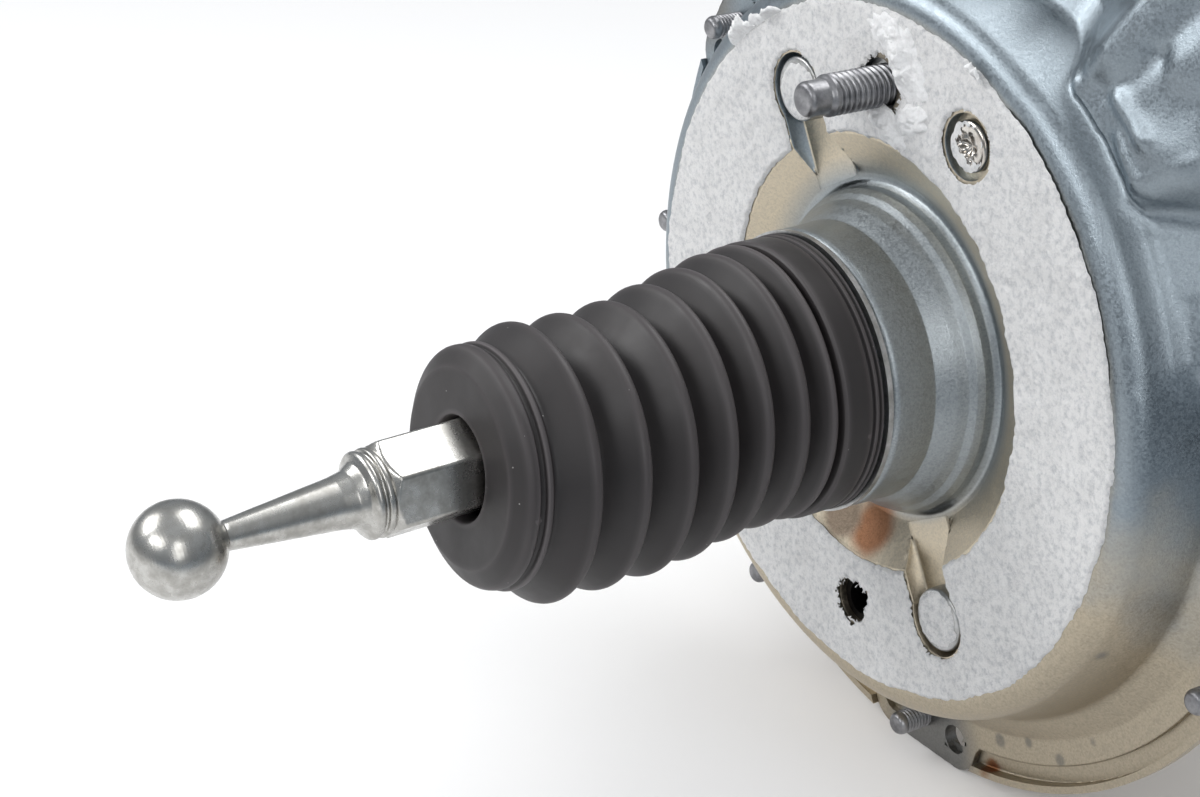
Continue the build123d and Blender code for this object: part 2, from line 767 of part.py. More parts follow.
# ---------------------------------------------------------------- tie rods and rim screws
with BuildPart() as tie_rods:
    for angle in tie_rod_angles:
        with BuildSketch(across(pocket_floor)):
            with Locations(polar(tie_rod_circle_radius, angle)):
                Circle(tie_rod_head_radius)
        extrude(amount=tie_rod_head_height)
        with BuildSketch(across(pocket_floor)):
            with Locations(polar(tie_rod_circle_radius, angle)):
                Circle(tie_rod_radius)
        extrude(amount=-(front_face + tie_rod_thread_length - pocket_floor))
        with BuildSketch(across(support_rear)):
            with Locations(polar(tie_rod_circle_radius, angle)):
                Circle(tie_rod_collar_radius)
        extrude(amount=tie_rod_collar_length)
        # undercut at the foot of the thread
        with BuildSketch(across(front_face - loose_gap)):
            with Locations(polar(tie_rod_circle_radius, angle)):
                Circle(tie_rod_radius + loose_gap)
                Circle(thread_relief_radius, mode=Mode.SUBTRACT)
        extrude(amount=-thread_relief_length, mode=Mode.SUBTRACT)
    chamfer(tie_rods.faces().sort_by(Axis.Y)[:2].edges(), edge_break)
    chamfer(tie_rods.faces().sort_by(Axis.Y)[-2:].edges(), thread_end_chamfer)
save(tie_rods, "tie_rods")

with BuildPart() as tie_rod_seals:
    with BuildSketch(across(pocket_floor + sheet)):
        for angle in tie_rod_angles:
            with Locations(polar(tie_rod_circle_radius, angle)):
                Circle(tie_rod_seal_radius)
                Circle(tie_rod_radius + running_gap, mode=Mode.SUBTRACT)
    extrude(amount=-tie_rod_seal_length)
    fillet(tie_rod_seals.faces().sort_by(Axis.Y)[-2:].edges(), tie_rod_seal_rounding)
save(tie_rod_seals, "tie_rod_seals")

with BuildPart() as rim_screws:
    places = [polar(rim_screw_circle_radius, angle) for angle in rim_screw_angles]
    places += [polar(ear_screw_circle_radius, angle) for angle in ear_angles]
    with BuildSketch(across(rim_front)):
        with Locations(places):
            Circle(rim_screw_head_radius)
    extrude(amount=-rim_screw_head_height)
    chamfer(rim_screws.faces().sort_by(Axis.Y)[-len(places):].edges(), edge_break)
    with BuildSketch(across(rim_front)):
        with Locations(places):
            Circle(rim_screw_radius)
    extrude(amount=2 * sheet + rim_screw_stand_out)
    fillet(rim_screws.faces().sort_by(Axis.Y)[: len(places)].edges(), rim_screw_rounding)
save(rim_screws, "rim_screws")


# ---------------------------------------------------------------- neck
neck_bush = turned(
    [
        (hub_radius + running_gap, bush_rear),
        (neck_bore_radius - running_gap, bush_rear),
        (neck_bore_radius - running_gap, bush_rear + bush_length),
        (hub_radius + running_gap, bush_rear + bush_length),
    ]
)
save(neck_bush, "neck_bush")

neck_seal = turned(
    [
        (hub_radius + seal_groove_width - seal_lip_thickness, seal_front),
        (neck_bore_radius - running_gap, seal_front),
        (neck_bore_radius - running_gap, seal_rear),
        (hub_radius + seal_groove_width, seal_rear),
        (hub_radius + seal_groove_width, seal_rear + seal_groove_depth),
        (hub_radius + running_gap, seal_rear + seal_lip_setback),
        (hub_radius + running_gap, seal_rear + seal_lip_setback + seal_lip_land),
    ]
)
save(neck_seal, "neck_seal")

seal_washer = turned(
    [
        (hub_radius + washer_play, washer_front - washer_thickness),
        (neck_bore_radius - running_gap, washer_front - washer_thickness),
        (neck_bore_radius - running_gap, washer_front),
        (hub_radius + washer_play, washer_front),
    ]
)
save(seal_washer, "seal_washer")


# ---------------------------------------------------------------- power piston
with BuildPart() as valve_body:
    with BuildSketch(Plane.XY):
        with BuildLine():
            Polyline(
                (hub_radius, hub_rear_station),
                (hub_radius, plate_station + plate_thickness),
                (hub_flange_radius, plate_station + plate_thickness),
                (hub_flange_radius, hub_front),
                (boss_radius, hub_front),
                (boss_radius, boss_front),
                (disc_radius + running_gap, boss_front),
                (disc_radius + running_gap, hub_front),
                (plunger_nose_radius + running_gap, hub_front),
                (plunger_nose_radius + running_gap, hub_front - hub_web_thickness),
                (plunger_radius + running_gap, hub_front - hub_web_thickness),
                (plunger_radius + running_gap, plunger_guide_start),
                (plunger_flange_radius + seat_play, plunger_guide_start),
                (plunger_flange_radius + seat_play, seat_station),
                (plunger_flange_radius + seat_play + seat_width, seat_station),
                (plunger_flange_radius + seat_play + seat_width, seat_station + seat_height),
                (hub_bore_radius, seat_station + seat_height),
                (hub_bore_radius, hub_rear_station),
                close=True,
            )
        make_face()
    revolve(axis=Axis.Y)
    # radial slot of the stop key
    with BuildSketch(across(key_station - slot_gap)):
        with Locations((hub_radius, 0)):
            Rectangle(2 * hub_radius, key_width + 4 * slot_gap)
    extrude(amount=-(key_thickness + 2 * slot_gap), mode=Mode.SUBTRACT)
    # air channels between the front chamber and the valve seat
    with BuildSketch(across(hub_front)):
        with PolarLocations(air_channel_circle_radius, 4, start_angle=45):
            Circle(air_channel_radius)
    extrude(amount=hub_front - seat_station - seat_height, mode=Mode.SUBTRACT)
    chamfer(valve_body.faces().sort_by(Axis.Y)[0].outer_wire().edges(), hub_edge_chamfer)
save(valve_body, "valve_body")

with BuildPart() as stop_key:
    with BuildSketch(across(key_station)):
        with Locations(((hub_radius - key_inset) / 2, 0)):
            Rectangle(hub_radius - key_inset, key_width)
        Circle(plunger_groove_radius + loose_gap, mode=Mode.SUBTRACT)
        with Locations((-hub_radius / 2, 0)):
            Rectangle(hub_radius, 2 * hub_radius, mode=Mode.SUBTRACT)
    extrude(amount=-key_thickness)
save(stop_key, "stop_key")

with BuildPart() as support_plate:
    with BuildSketch(Plane.XY):
        with BuildLine():
            FilletPolyline(
                (hub_radius + running_gap, plate_station),
                (plate_rim_radius - plate_bevel, plate_station),
                (plate_rim_radius, plate_station + plate_bevel),
                (plate_rim_radius, plate_station + plate_rim_length),
                radius=[2.0, 2.0],
            )
            offset(amount=plate_thickness, side=Side.LEFT)
        make_face()
    revolve(axis=Axis.Y)
    with BuildSketch(across(plate_station - cutter_margin)):
        with Locations([polar(tie_rod_circle_radius, angle) for angle in tie_rod_angles]):
            Circle(guide_radius + running_gap)
    extrude(amount=-(plate_thickness + 2 * cutter_margin), mode=Mode.SUBTRACT)
save(support_plate, "support_plate")

with BuildPart() as tie_rod_guides:
    guide_places = [polar(tie_rod_circle_radius, angle) for angle in tie_rod_angles]
    with BuildSketch(across(plate_station - diaphragm_thickness)):
        with Locations(guide_places):
            Circle(guide_radius)
            Circle(tie_rod_radius + running_gap, mode=Mode.SUBTRACT)
    extrude(amount=-(diaphragm_thickness + plate_thickness))
    with BuildSketch(across(plate_station + plate_thickness)):
        with Locations(guide_places):
            Circle(guide_radius + guide_flange_width)
            Circle(tie_rod_radius + running_gap, mode=Mode.SUBTRACT)
    extrude(amount=-guide_flange_thickness)
save(tie_rod_guides, "tie_rod_guides")

with BuildPart() as diaphragm:
    with BuildSketch(Plane.XY):
        with BuildLine():
            FilletPolyline(
                (hub_radius + soft_gap, plate_station - slot_gap),
                (plate_rim_radius - plate_bevel, plate_station - slot_gap),
                (plate_rim_radius + soft_gap, plate_station + plate_bevel),
                (plate_rim_radius + soft_gap, diaphragm_fold),
                (chamber_radius - fold_chamber_gap, diaphragm_fold),
                (chamber_radius - fold_web_gap, diaphragm_web),
                (bead_groove_radius - fold_web_gap, diaphragm_web),
                radius=[2.0, 2.0, 2.4, 2.4, 1.0],
            )
            offset(amount=diaphragm_thickness, side=Side.RIGHT)
        make_face()
    revolve(axis=Axis.Y)
    with BuildSketch(Plane.XY):
        with Locations((bead_middle_radius, clamp_face + bead_groove_depth / 2)):
            RectangleRounded(
                diaphragm_bead_width, bead_groove_depth - 2 * slot_gap, diaphragm_bead_rounding
            )
    revolve(axis=Axis.Y)
    with BuildSketch(across(plate_station - diaphragm_thickness - cutter_margin)):
        with Locations([polar(tie_rod_circle_radius, angle) for angle in tie_rod_angles]):
            Circle(guide_radius + soft_gap)
    extrude(amount=-(diaphragm_thickness + 2 * cutter_margin), mode=Mode.SUBTRACT)
save(diaphragm, "diaphragm")

diaphragm_clip = turned(
    [
        (hub_radius + running_gap, clip_station - retainer_ring_thickness),
        (hub_radius + retainer_ring_width, clip_station - retainer_ring_thickness),
        (hub_radius + retainer_ring_width, clip_station),
        (hub_radius + running_gap, clip_station),
    ]
)
save(diaphragm_clip, "diaphragm_clip")

reaction_disc = turned(
    [
        (0, hub_front),
        (disc_radius, hub_front),
        (disc_radius, hub_front + disc_thickness),
        (0, hub_front + disc_thickness),
    ]
)
save(reaction_disc, "reaction_disc")

output_rod = turned(
    [
        (0, output_rear),
        (output_head_radius, output_rear),
        (output_head_radius, output_rear + output_head_height),
        (output_rod_radius + output_cone_height, output_rear + output_head_height),
        (output_rod_radius, output_rear + output_head_height + output_cone_height),
        (output_rod_radius, tip_start),
        (output_tip_stem_radius, tip_start),
        (output_tip_stem_radius, tip_start - output_tip_stem_length - loose_gap),
        (0, tip_start - output_tip_stem_length - loose_gap),
    ]
)
save(output_rod, "output_rod")

output_tip = turned(
    [
        (0, tip_start - output_tip_stem_length),
        (output_tip_stem_radius - running_gap, tip_start - output_tip_stem_length),
        (output_tip_stem_radius - running_gap, tip_start),
        (output_tip_radius + output_tip_collar_width, tip_start),
        (output_tip_radius + output_tip_collar_width, tip_start + output_tip_collar_height),
        (output_tip_radius, tip_start + output_tip_collar_height),
        (output_tip_radius, tip_start + output_tip_length - output_tip_dome_height),
        (output_tip_radius - output_tip_dome_width, tip_start + output_tip_length),
        (0, tip_start + output_tip_length),
    ]
)
save(output_tip, "output_tip")

output_retainer = turned(
    [
        (output_rod_radius + retainer_play, boss_front + running_gap),
        (boss_radius + running_gap, boss_front + running_gap),
        (boss_radius + running_gap, boss_front - retainer_skirt_length),
        (boss_radius + retainer_ring_thickness, boss_front - retainer_skirt_length),
        (boss_radius + retainer_ring_thickness, boss_front + retainer_ring_thickness),
        (output_rod_radius + retainer_play, boss_front + retainer_ring_thickness),
    ]
)
save(output_retainer, "output_retainer")


# ---------------------------------------------------------------- control valve
with BuildPart() as plunger:
    with BuildSketch(Plane.XY):
        with BuildLine():
            Polyline(
                (0, plunger_flange_station),
                (plunger_flange_radius, plunger_flange_station),
                (plunger_flange_radius, plunger_flange_station + plunger_flange_thickness),
                (plunger_radius, plunger_cone_end),
                (plunger_radius, plunger_groove_start),
                (plunger_groove_radius, plunger_groove_start),
                (plunger_groove_radius, plunger_groove_end),
                (plunger_radius, plunger_groove_end),
                (plunger_radius, plunger_guide_end),
                (plunger_nose_radius, plunger_guide_end),
                (plunger_nose_radius, plunger_guide_end + plunger_nose_length),
                (0, plunger_guide_end + plunger_nose_length),
                close=True,
            )
        make_face()
    revolve(axis=Axis.Y)
    # socket of the push rod's inner ball and its mouth
    with Locations((0, rod_pivot_station, 0)):
        Sphere(socket_radius, mode=Mode.SUBTRACT)
    with BuildSketch(across(rod_pivot_station)):
        Circle(rod_neck_radius + socket_mouth_play)
    extrude(
        amount=rod_pivot_station - plunger_flange_station,
        taper=-socket_mouth_flare_angle,
        mode=Mode.SUBTRACT,
    )
save(plunger, "plunger")

poppet_valve = turned(
    [
        (poppet_bore_radius, poppet_face),
        (poppet_face_radius, poppet_face),
        (poppet_face_radius, poppet_back),
        (poppet_tube_radius, poppet_back),
        (poppet_tube_radius, poppet_tube_end),
        (hub_bore_radius - running_gap, poppet_tube_end),
        (hub_bore_radius - running_gap, poppet_bead_station),
        (poppet_tube_radius - poppet_wall, poppet_bead_station),
        (poppet_tube_radius - poppet_wall, poppet_back - poppet_root_depth),
        (poppet_bore_radius, poppet_back),
    ]
)
save(poppet_valve, "poppet_valve")

poppet_retainer = turned(
    [
        (poppet_tube_radius, poppet_bead_station),
        (hub_bore_radius - running_gap, poppet_bead_station),
        (hub_bore_radius - running_gap, retainer_rear),
        (poppet_retainer_bore_radius, retainer_rear),
        (poppet_retainer_bore_radius, retainer_rear + poppet_retainer_floor),
        (poppet_tube_radius, retainer_rear + poppet_retainer_floor),
    ]
)
save(poppet_retainer, "poppet_retainer")

filter_ring = turned(
    [
        (rod_radius + filter_play, filter_rear),
        (hub_bore_radius - running_gap, filter_rear),
        (hub_bore_radius - running_gap, filter_front),
        (rod_radius + filter_play, filter_front),
    ]
)
save(filter_ring, "filter_ring")


# ---------------------------------------------------------------- push rod
rod_plane = Plane(origin=(0, rod_pivot_station, 0)).rotated((rod_droop, 0, 0))
rod_axis = Axis(rod_plane.origin, rod_plane.y_dir)

with BuildPart() as input_rod:
    with BuildSketch(rod_plane):
        with BuildLine():
            Polyline(
                (0, 0),
                (rod_neck_radius, 0),
                (rod_neck_radius, -rod_neck_length),
                (rod_radius, -rod_neck_length - rod_neck_cone),
                (rod_radius, -rod_length),
                (0, -rod_length),
                close=True,
            )
        make_face()
    revolve(axis=rod_axis)
    with Locations(rod_plane):
        Sphere(rod_ball_radius)
save(input_rod, "input_rod")

with BuildPart() as ball_end:
    with BuildSketch(rod_plane):
        with BuildLine():
            Polyline(
                (0, -ball_reach),
                (taper_small_radius, -ball_reach),
                (taper_large_radius, -collar_reach - collar_root),
                (taper_large_radius + collar_root, -collar_reach),
                (collar_radius - edge_break, -collar_reach),
                (collar_radius, -collar_reach + edge_break),
                (collar_radius, -groove_reach),
                (collar_groove_radius, -groove_reach + collar_groove_slope),
                (collar_groove_radius, -groove_reach + collar_groove_width),
                (collar_radius - collar_step, -groove_reach + collar_groove_width + collar_groove_slope),
                (collar_radius - collar_step, -hex_reach),
                (0, -hex_reach),
                close=True,
            )
        make_face()
    revolve(axis=rod_axis)
    with Locations(rod_plane):
        with Locations((0, -ball_reach, 0)):
            Sphere(ball_radius)
    hex_plane = Plane(
        origin=rod_plane.from_local_coords((0, -hex_reach, 0)),
        x_dir=(1, 0, 0),
        z_dir=rod_plane.y_dir,
    )
    with BuildSketch(hex_plane):
        RegularPolygon(hex_flats / 2, 6, major_radius=False, rotation=30)
    extrude(amount=hex_length)
    with BuildSketch(hex_plane.offset(hex_length)):
        Circle(rod_radius + running_gap)
    extrude(amount=-(rod_engagement + rod_end_gap), mode=Mode.SUBTRACT)
save(ball_end, "ball_end")

spring_seat = turned(
    [
        (rod_radius + running_gap, -rod_seat_reach - rod_seat_collar_length),
        (rod_radius + rod_seat_collar_width, -rod_seat_reach - rod_seat_collar_length),
        (rod_radius + rod_seat_collar_width, -rod_seat_reach),
        (rod_seat_radius, -rod_seat_reach),
        (rod_seat_radius, -rod_seat_reach + rod_seat_thickness),
        (rod_radius + running_gap, -rod_seat_reach + rod_seat_thickness),
    ],
    rod_plane,
)
save(spring_seat, "spring_seat")


# ---------------------------------------------------------------- dust boot
clip_ring = turned(
    [
        (neck_end_radius + running_gap, clip_ring_rear - clip_ring_width),
        (boot_ring_radius + clip_ring_stand, clip_ring_rear - clip_ring_width),
        (boot_ring_radius + clip_ring_stand, clip_ring_rear),
        (neck_end_radius + running_gap, clip_ring_rear),
    ]
)
save(clip_ring, "clip_ring")

# the boot follows the push rod down, so its axis leans from the neck to the nose
boot_plane = Plane(origin=(0, boot_rear, 0)).rotated((boot_droop, 0, 0))

with BuildPart() as dust_boot:
    with BuildSketch(boot_plane):
        with BuildLine():
            FilletPolyline(*boot_outer, radius=boot_rounding)
            FilletPolyline(*boot_inner, radius=boot_inner_rounding)
            Line(boot_outer[0], boot_inner[0])
            Line(boot_outer[-1], boot_inner[-1])
        make_face()
    revolve(axis=Axis(boot_plane.origin, boot_plane.y_dir))
save(dust_boot, "dust_boot")


# ---------------------------------------------------------------- springs
def coil_spring(start, end, radius, wire, turns, place=(0, 0)):
    """Helical spring that stands between two stations, about a line at place."""
    length = end - start - 2 * wire
    foot = (place[0], start + wire, place[1])
    with BuildPart() as spring:
        with BuildLine() as path:
            Helix(length / turns, length, radius, center=foot, direction=(0, 1, 0))
        with BuildSketch(Plane(origin=path.line @ 0, z_dir=path.line % 0)):
            Circle(wire - wire_gap)
        sweep(is_frenet=True)
    return spring


return_spring = coil_spring(
    hub_front, support_rear, return_spring_radius, return_spring_wire, return_spring_turns
)
save(return_spring, "return_spring")

rod_spring = coil_spring(
    rod_pivot_station - rod_seat_reach + rod_seat_thickness + loose_gap,
    retainer_rear,
    rod_spring_radius,
    rod_spring_wire,
    rod_spring_turns,
)
save(rod_spring, "rod_spring")

poppet_spring = coil_spring(
    poppet_tube_end, poppet_back, poppet_spring_radius, poppet_spring_wire, poppet_spring_turns
)
save(poppet_spring, "poppet_spring")


# ---------------------------------------------------------------- vacuum check valve
valve_place = polar(valve_circle_radius, valve_angle)
valve_plane = Plane(origin=(valve_place[0], 0, valve_place[1]))

valve_grommet = turned(
    [
        (valve_bore_radius + running_gap, front_inner - grommet_lip_thickness),
        (valve_hole_radius + grommet_lip, front_inner - grommet_lip_thickness),
        (valve_hole_radius + grommet_lip, front_inner - running_gap),
        (valve_hole_radius - running_gap, front_inner - running_gap),
        (valve_hole_radius - running_gap, grommet_seat + running_gap),
        (valve_hole_radius + grommet_lip, grommet_seat + running_gap),
        (valve_hole_radius + grommet_lip, grommet_seat + grommet_lip_thickness),
        (valve_bore_radius + running_gap, grommet_seat + grommet_lip_thickness),
    ],
    valve_plane,
)
save(valve_grommet, "valve_grommet")

valve_housing = turned(
    [
        (valve_seat_radius, housing_rear),
        (valve_bore_radius, housing_rear),
        (valve_bore_radius, housing_flange),
        (valve_hole_radius + valve_flange_width, housing_flange),
        (valve_hole_radius + valve_flange_width, valve_shoulder),
        (nozzle_radius + nozzle_root_width, valve_shoulder + nozzle_root_width),
        (nozzle_radius - nozzle_waist, valve_shoulder + 2 * nozzle_root_width),
        (nozzle_radius - nozzle_waist, nozzle_end - 2 * nozzle_barb_pitch),
        (nozzle_radius + nozzle_barb_height, nozzle_end - 2 * nozzle_barb_pitch),
        (nozzle_radius - nozzle_barb_height, nozzle_end - nozzle_barb_pitch),
        (nozzle_radius + nozzle_barb_height, nozzle_end - nozzle_barb_pitch),
        (nozzle_radius - nozzle_tip_taper, nozzle_end),
        (nozzle_bore_radius, nozzle_end),
        (nozzle_bore_radius, housing_flange),
        (valve_chamber_radius, housing_flange),
        (valve_chamber_radius, housing_seat),
        (valve_seat_radius, housing_seat),
    ],
    valve_plane,
)
save(valve_housing, "valve_housing")

valve_disc = turned(
    [
        (0, housing_seat + valve_disc_gap),
        (valve_chamber_radius - valve_disc_play, housing_seat + valve_disc_gap),
        (valve_chamber_radius - valve_disc_play, housing_seat + valve_disc_thickness),
        (valve_disc_boss_radius, housing_seat + valve_disc_thickness),
        (valve_disc_boss_radius, housing_seat + 2 * valve_disc_thickness),
        (0, housing_seat + 2 * valve_disc_thickness),
    ],
    valve_plane,
)
save(valve_disc, "valve_disc")

valve_spring = coil_spring(
    housing_seat + valve_disc_thickness,
    housing_flange,
    valve_spring_radius,
    valve_spring_wire,
    valve_spring_turns,
    valve_place,
)
save(valve_spring, "valve_spring")
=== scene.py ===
import json
import math
import bpy
import numpy as np
from mathutils import Matrix, Vector


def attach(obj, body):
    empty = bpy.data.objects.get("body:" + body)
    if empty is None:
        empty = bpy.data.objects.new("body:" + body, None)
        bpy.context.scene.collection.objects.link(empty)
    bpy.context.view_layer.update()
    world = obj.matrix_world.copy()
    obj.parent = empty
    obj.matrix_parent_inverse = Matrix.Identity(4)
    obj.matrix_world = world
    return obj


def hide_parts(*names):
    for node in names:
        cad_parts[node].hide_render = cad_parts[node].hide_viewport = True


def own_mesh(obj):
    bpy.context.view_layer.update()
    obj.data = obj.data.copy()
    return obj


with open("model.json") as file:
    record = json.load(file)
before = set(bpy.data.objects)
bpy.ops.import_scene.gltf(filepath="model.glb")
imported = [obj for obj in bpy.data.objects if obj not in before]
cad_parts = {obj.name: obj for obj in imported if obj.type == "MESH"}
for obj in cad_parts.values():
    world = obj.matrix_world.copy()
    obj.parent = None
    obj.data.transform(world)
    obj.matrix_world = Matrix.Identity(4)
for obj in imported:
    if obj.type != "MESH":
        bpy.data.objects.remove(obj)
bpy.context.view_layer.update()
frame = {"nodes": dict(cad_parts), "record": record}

# A vacuum brake booster, seen from its pedal side. Pieces are in millimetres, which addMesh turns into
# metres; the floor, lamps and clipping are in metres. Stations run along Y, and the pedal is towards -Y.
mm = 0.001
scene = bpy.context.scene


def newObject(name, data):
    item = bpy.data.objects.new(name, data)
    scene.collection.objects.link(item)
    return item


print("camera")
view = {
    "azimuth": 58.1, "elevation": 23.65, "lens": 73.41,
    "right": -51.12, "up": -8.38, "back": 475.1,  # the eye's place along the view's own directions
}
lookAz, lookEl = math.radians(view["azimuth"]), math.radians(view["elevation"])
rightDir = np.array([math.cos(lookAz), math.sin(lookAz), 0.0])
backDir = np.array([
    math.sin(lookAz) * math.cos(lookEl), -math.cos(lookAz) * math.cos(lookEl), math.sin(lookEl)])
upDir = np.cross(backDir, rightDir)
eye = (view["right"] * rightDir + view["up"] * upDir + view["back"] * backDir) * mm
cameraData = bpy.data.cameras.new("camera")
cameraData.lens = view["lens"]
cameraData.sensor_width = 36.0
cameraData.clip_start = 0.01
cameraData.clip_end = 20.0
camera = newObject("camera", cameraData)
camera.matrix_world = Matrix((
    (rightDir[0], upDir[0], backDir[0], eye[0]),
    (rightDir[1], upDir[1], backDir[1], eye[1]),
    (rightDir[2], upDir[2], backDir[2], eye[2]),
    (0, 0, 0, 1),
))
scene.camera = camera


# Eased step from 0 to 1: three t squared less two t cubed.
def smooth01(t):
    t = np.clip(t, 0.0, 1.0)
    return t * t * (3 - 2 * t)


# Larger of two fields, with the corner between them rounded over width.
def softMax(a, b, width):
    h = np.clip(0.5 + 0.5 * (a - b) / width, 0, 1)
    return b + (a - b) * h + width * h * (1 - h) * 0.5


def softMin(a, b, width):
    return -softMax(-a, -b, width)


# Place in the plane square to the axis, from a radius and an angle in degrees.
def polar(radius, angle):
    return radius * math.cos(math.radians(angle)), radius * math.sin(math.radians(angle))


def circle(count):
    return np.linspace(0, 2 * math.pi, count, endpoint=False)


# Grid of points from three arrays or numbers.
def points(x, y, z):
    return np.stack(np.broadcast_arrays(x, y, z), -1)


# Hex colour as linear RGBA.
def srgb(text):
    values = [int(text[i:i + 2], 16) / 255 for i in (0, 2, 4)]
    linear = [v / 12.92 if v <= 0.04045 else ((v + 0.055) / 1.055) ** 2.4 for v in values]
    return (*linear, 1.0)


# Points along a polyline in (radius, station) about step apart. Each inner corner becomes an arc that touches
# both of its sides, of the radius given or of what the sides have room for.
def filletPath(corners, radii, step):
    p = np.array(corners, float)
    out = [p[0]]
    for k in range(1, len(p) - 1):
        a = p[k - 1] - p[k]
        b = p[k + 1] - p[k]
        la, lb = np.linalg.norm(a), np.linalg.norm(b)
        a, b = a / la, b / lb
        turn = math.pi - math.acos(np.clip(a @ b, -1, 1))
        radius = radii[k - 1]
        tangent = min(radius * math.tan(turn / 2), 0.49 * la, 0.49 * lb)
        if turn < 0.02 or radius <= 0:
            out.append(p[k])
            continue
        radius = tangent / math.tan(turn / 2)
        start = p[k] + a * tangent
        bis = a + b
        centre = p[k] + bis / np.linalg.norm(bis) * (radius / math.cos(turn / 2))
        u = start - centre
        hand = math.copysign(1.0, a[0] * b[1] - a[1] * b[0])
        count = max(3, int(radius * turn / step) + 2)
        for t in np.linspace(0, turn, count):
            c, s = math.cos(hand * -t), math.sin(hand * -t)
            out.append(centre + np.array([c * u[0] - s * u[1], s * u[0] + c * u[1]]))
    out.append(p[-1])
    dense = [out[0]]
    for a, b in zip(out[:-1], out[1:]):
        n = max(1, int(math.ceil(np.linalg.norm(b - a) / (2.2 * step))))
        for t in range(1, n + 1):
            dense.append(a + (b - a) * t / n)
    return np.array(dense)


# Smooth random field of about -1 to 1 over a plane: random values on a lattice, eased from one to the next.
# Its bumps are scale across.
def valueNoise(x, y, scale, seed):
    lattice = np.random.RandomState(seed).uniform(-1, 1, (256, 256))
    u, v = np.asarray(x) / scale, np.asarray(y) / scale
    i, j = np.floor(u).astype(int), np.floor(v).astype(int)
    a, b = smooth01(u - i), smooth01(v - j)
    i, j = i % 256, j % 256
    k, m = (i + 1) % 256, (j + 1) % 256
    return (lattice[i, j] * (1 - a) * (1 - b) + lattice[k, j] * a * (1 - b)
            + lattice[i, m] * (1 - a) * b + lattice[k, m] * a * b)


# Quads of a rows by cols grid of points, joined round the columns if wrap.
def gridQuads(rows, cols, wrap):
    r = np.arange(rows - 1)[:, None]
    c = np.arange(cols if wrap else cols - 1)[None]
    n = (c + 1) % cols
    return np.stack([r * cols + c, r * cols + n, (r + 1) * cols + n, (r + 1) * cols + c], -1).reshape(-1, 4)


# A grid of points as the (points, quads) of one part.
def gridPart(grid, wrap=True):
    return grid.reshape(-1, 3), gridQuads(*grid.shape[:2], wrap)


# Several parts as one.
def joinParts(parts):
    verts, quads, base = [], [], 0
    for v, q in parts:
        verts.append(np.asarray(v, float))
        quads.append(np.asarray(q, int) + base)
        base += len(v)
    return np.vstack(verts), np.vstack(quads)


# The middle of each quad.
def centreOf(verts, quads):
    return verts[quads].mean(1)


# Points at radius r, station y and angles a in radians round the line along Y through (cx, cz).
def turned(r, y, a, cx=0.0, cz=0.0):
    return points(cx + r * np.cos(a), y, cz + r * np.sin(a))


# One object from points in millimetres; towards gives for each point a direction that lies outside. Without a
# material of its own it has its slot's.
def addMesh(name, verts, quads, body, slotName, towards, replaced=(), material=None):
    verts = np.asarray(verts, float)
    quads = np.asarray(quads, int)
    a = verts[quads[:, 1]] - verts[quads[:, 0]]
    b = verts[quads[:, 3]] - verts[quads[:, 0]]
    facing = np.einsum("ij,ij->i", np.cross(a, b), np.broadcast_to(towards, verts.shape)[quads[:, 0]])
    if facing.sum() < 0:
        quads = quads[:, ::-1]
    mesh = bpy.data.meshes.new(name)
    mesh.vertices.add(len(verts))
    mesh.vertices.foreach_set("co", (verts * mm).ravel())
    mesh.loops.add(quads.size)
    mesh.loops.foreach_set("vertex_index", quads.ravel())
    mesh.polygons.add(len(quads))
    mesh.polygons.foreach_set("loop_start", np.arange(len(quads)) * quads.shape[1])
    mesh.update(calc_edges=True)
    mesh.validate()
    mesh.polygons.foreach_set("use_smooth", [True] * len(mesh.polygons))
    mesh.materials.append(material or slotMaterials[slotName])
    piece = newObject(name, mesh)
    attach(piece, body)
    if replaced:
        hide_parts(*replaced)
    return piece


def newMaterial(name):
    material = bpy.data.materials.new(name)
    material.use_nodes = True
    tree = material.node_tree
    return material, tree, tree.nodes["Principled BSDF"]


# One node: settings are its own, sockets are input values and links are input sources.
def addNode(tree, kind, links=None, sockets=None, **settings):
    node = tree.nodes.new(kind)
    for key, value in settings.items():
        setattr(node, key, value)
    for key, value in (sockets or {}).items():
        node.inputs[key].default_value = value
    for key, source in (links or {}).items():
        tree.links.new(source, node.inputs[key])
    return node


# Gives an input a number or a hex colour, or links it to a source.
def feed(tree, socket, value):
    if isinstance(value, bpy.types.NodeSocket):
        tree.links.new(value, socket)
    else:
        socket.default_value = srgb(value) if isinstance(value, str) else value


def reckon(tree, operation, *values):
    node = addNode(tree, "ShaderNodeMath", operation=operation)
    for socket, value in zip(node.inputs, values):
        feed(tree, socket, value)
    return node.outputs[0]


# A value taken from one range to another and held at its ends.
def mapRange(tree, value, low, high, toLow=0.0, toHigh=1.0, **settings):
    sockets = {"From Min": low, "From Max": high, "To Min": toLow, "To Max": toHigh}
    return addNode(tree, "ShaderNodeMapRange", {"Value": value}, sockets, **settings).outputs[0]


def axisOf(tree, vector, axis):
    return addNode(tree, "ShaderNodeSeparateXYZ", {"Vector": vector}).outputs[axis]


# Colour ramp; stops are (place, hex colour or grey level).
def ramp(tree, source, stops):
    node = addNode(tree, "ShaderNodeValToRGB", {"Fac": source})
    elements = node.color_ramp.elements
    while len(elements) < len(stops):
        elements.new(0.5)
    for element, (place, colour) in zip(elements, stops):
        element.position = place
        element.color = srgb(colour) if isinstance(colour, str) else (colour, colour, colour, 1.0)
    return node.outputs["Color"]


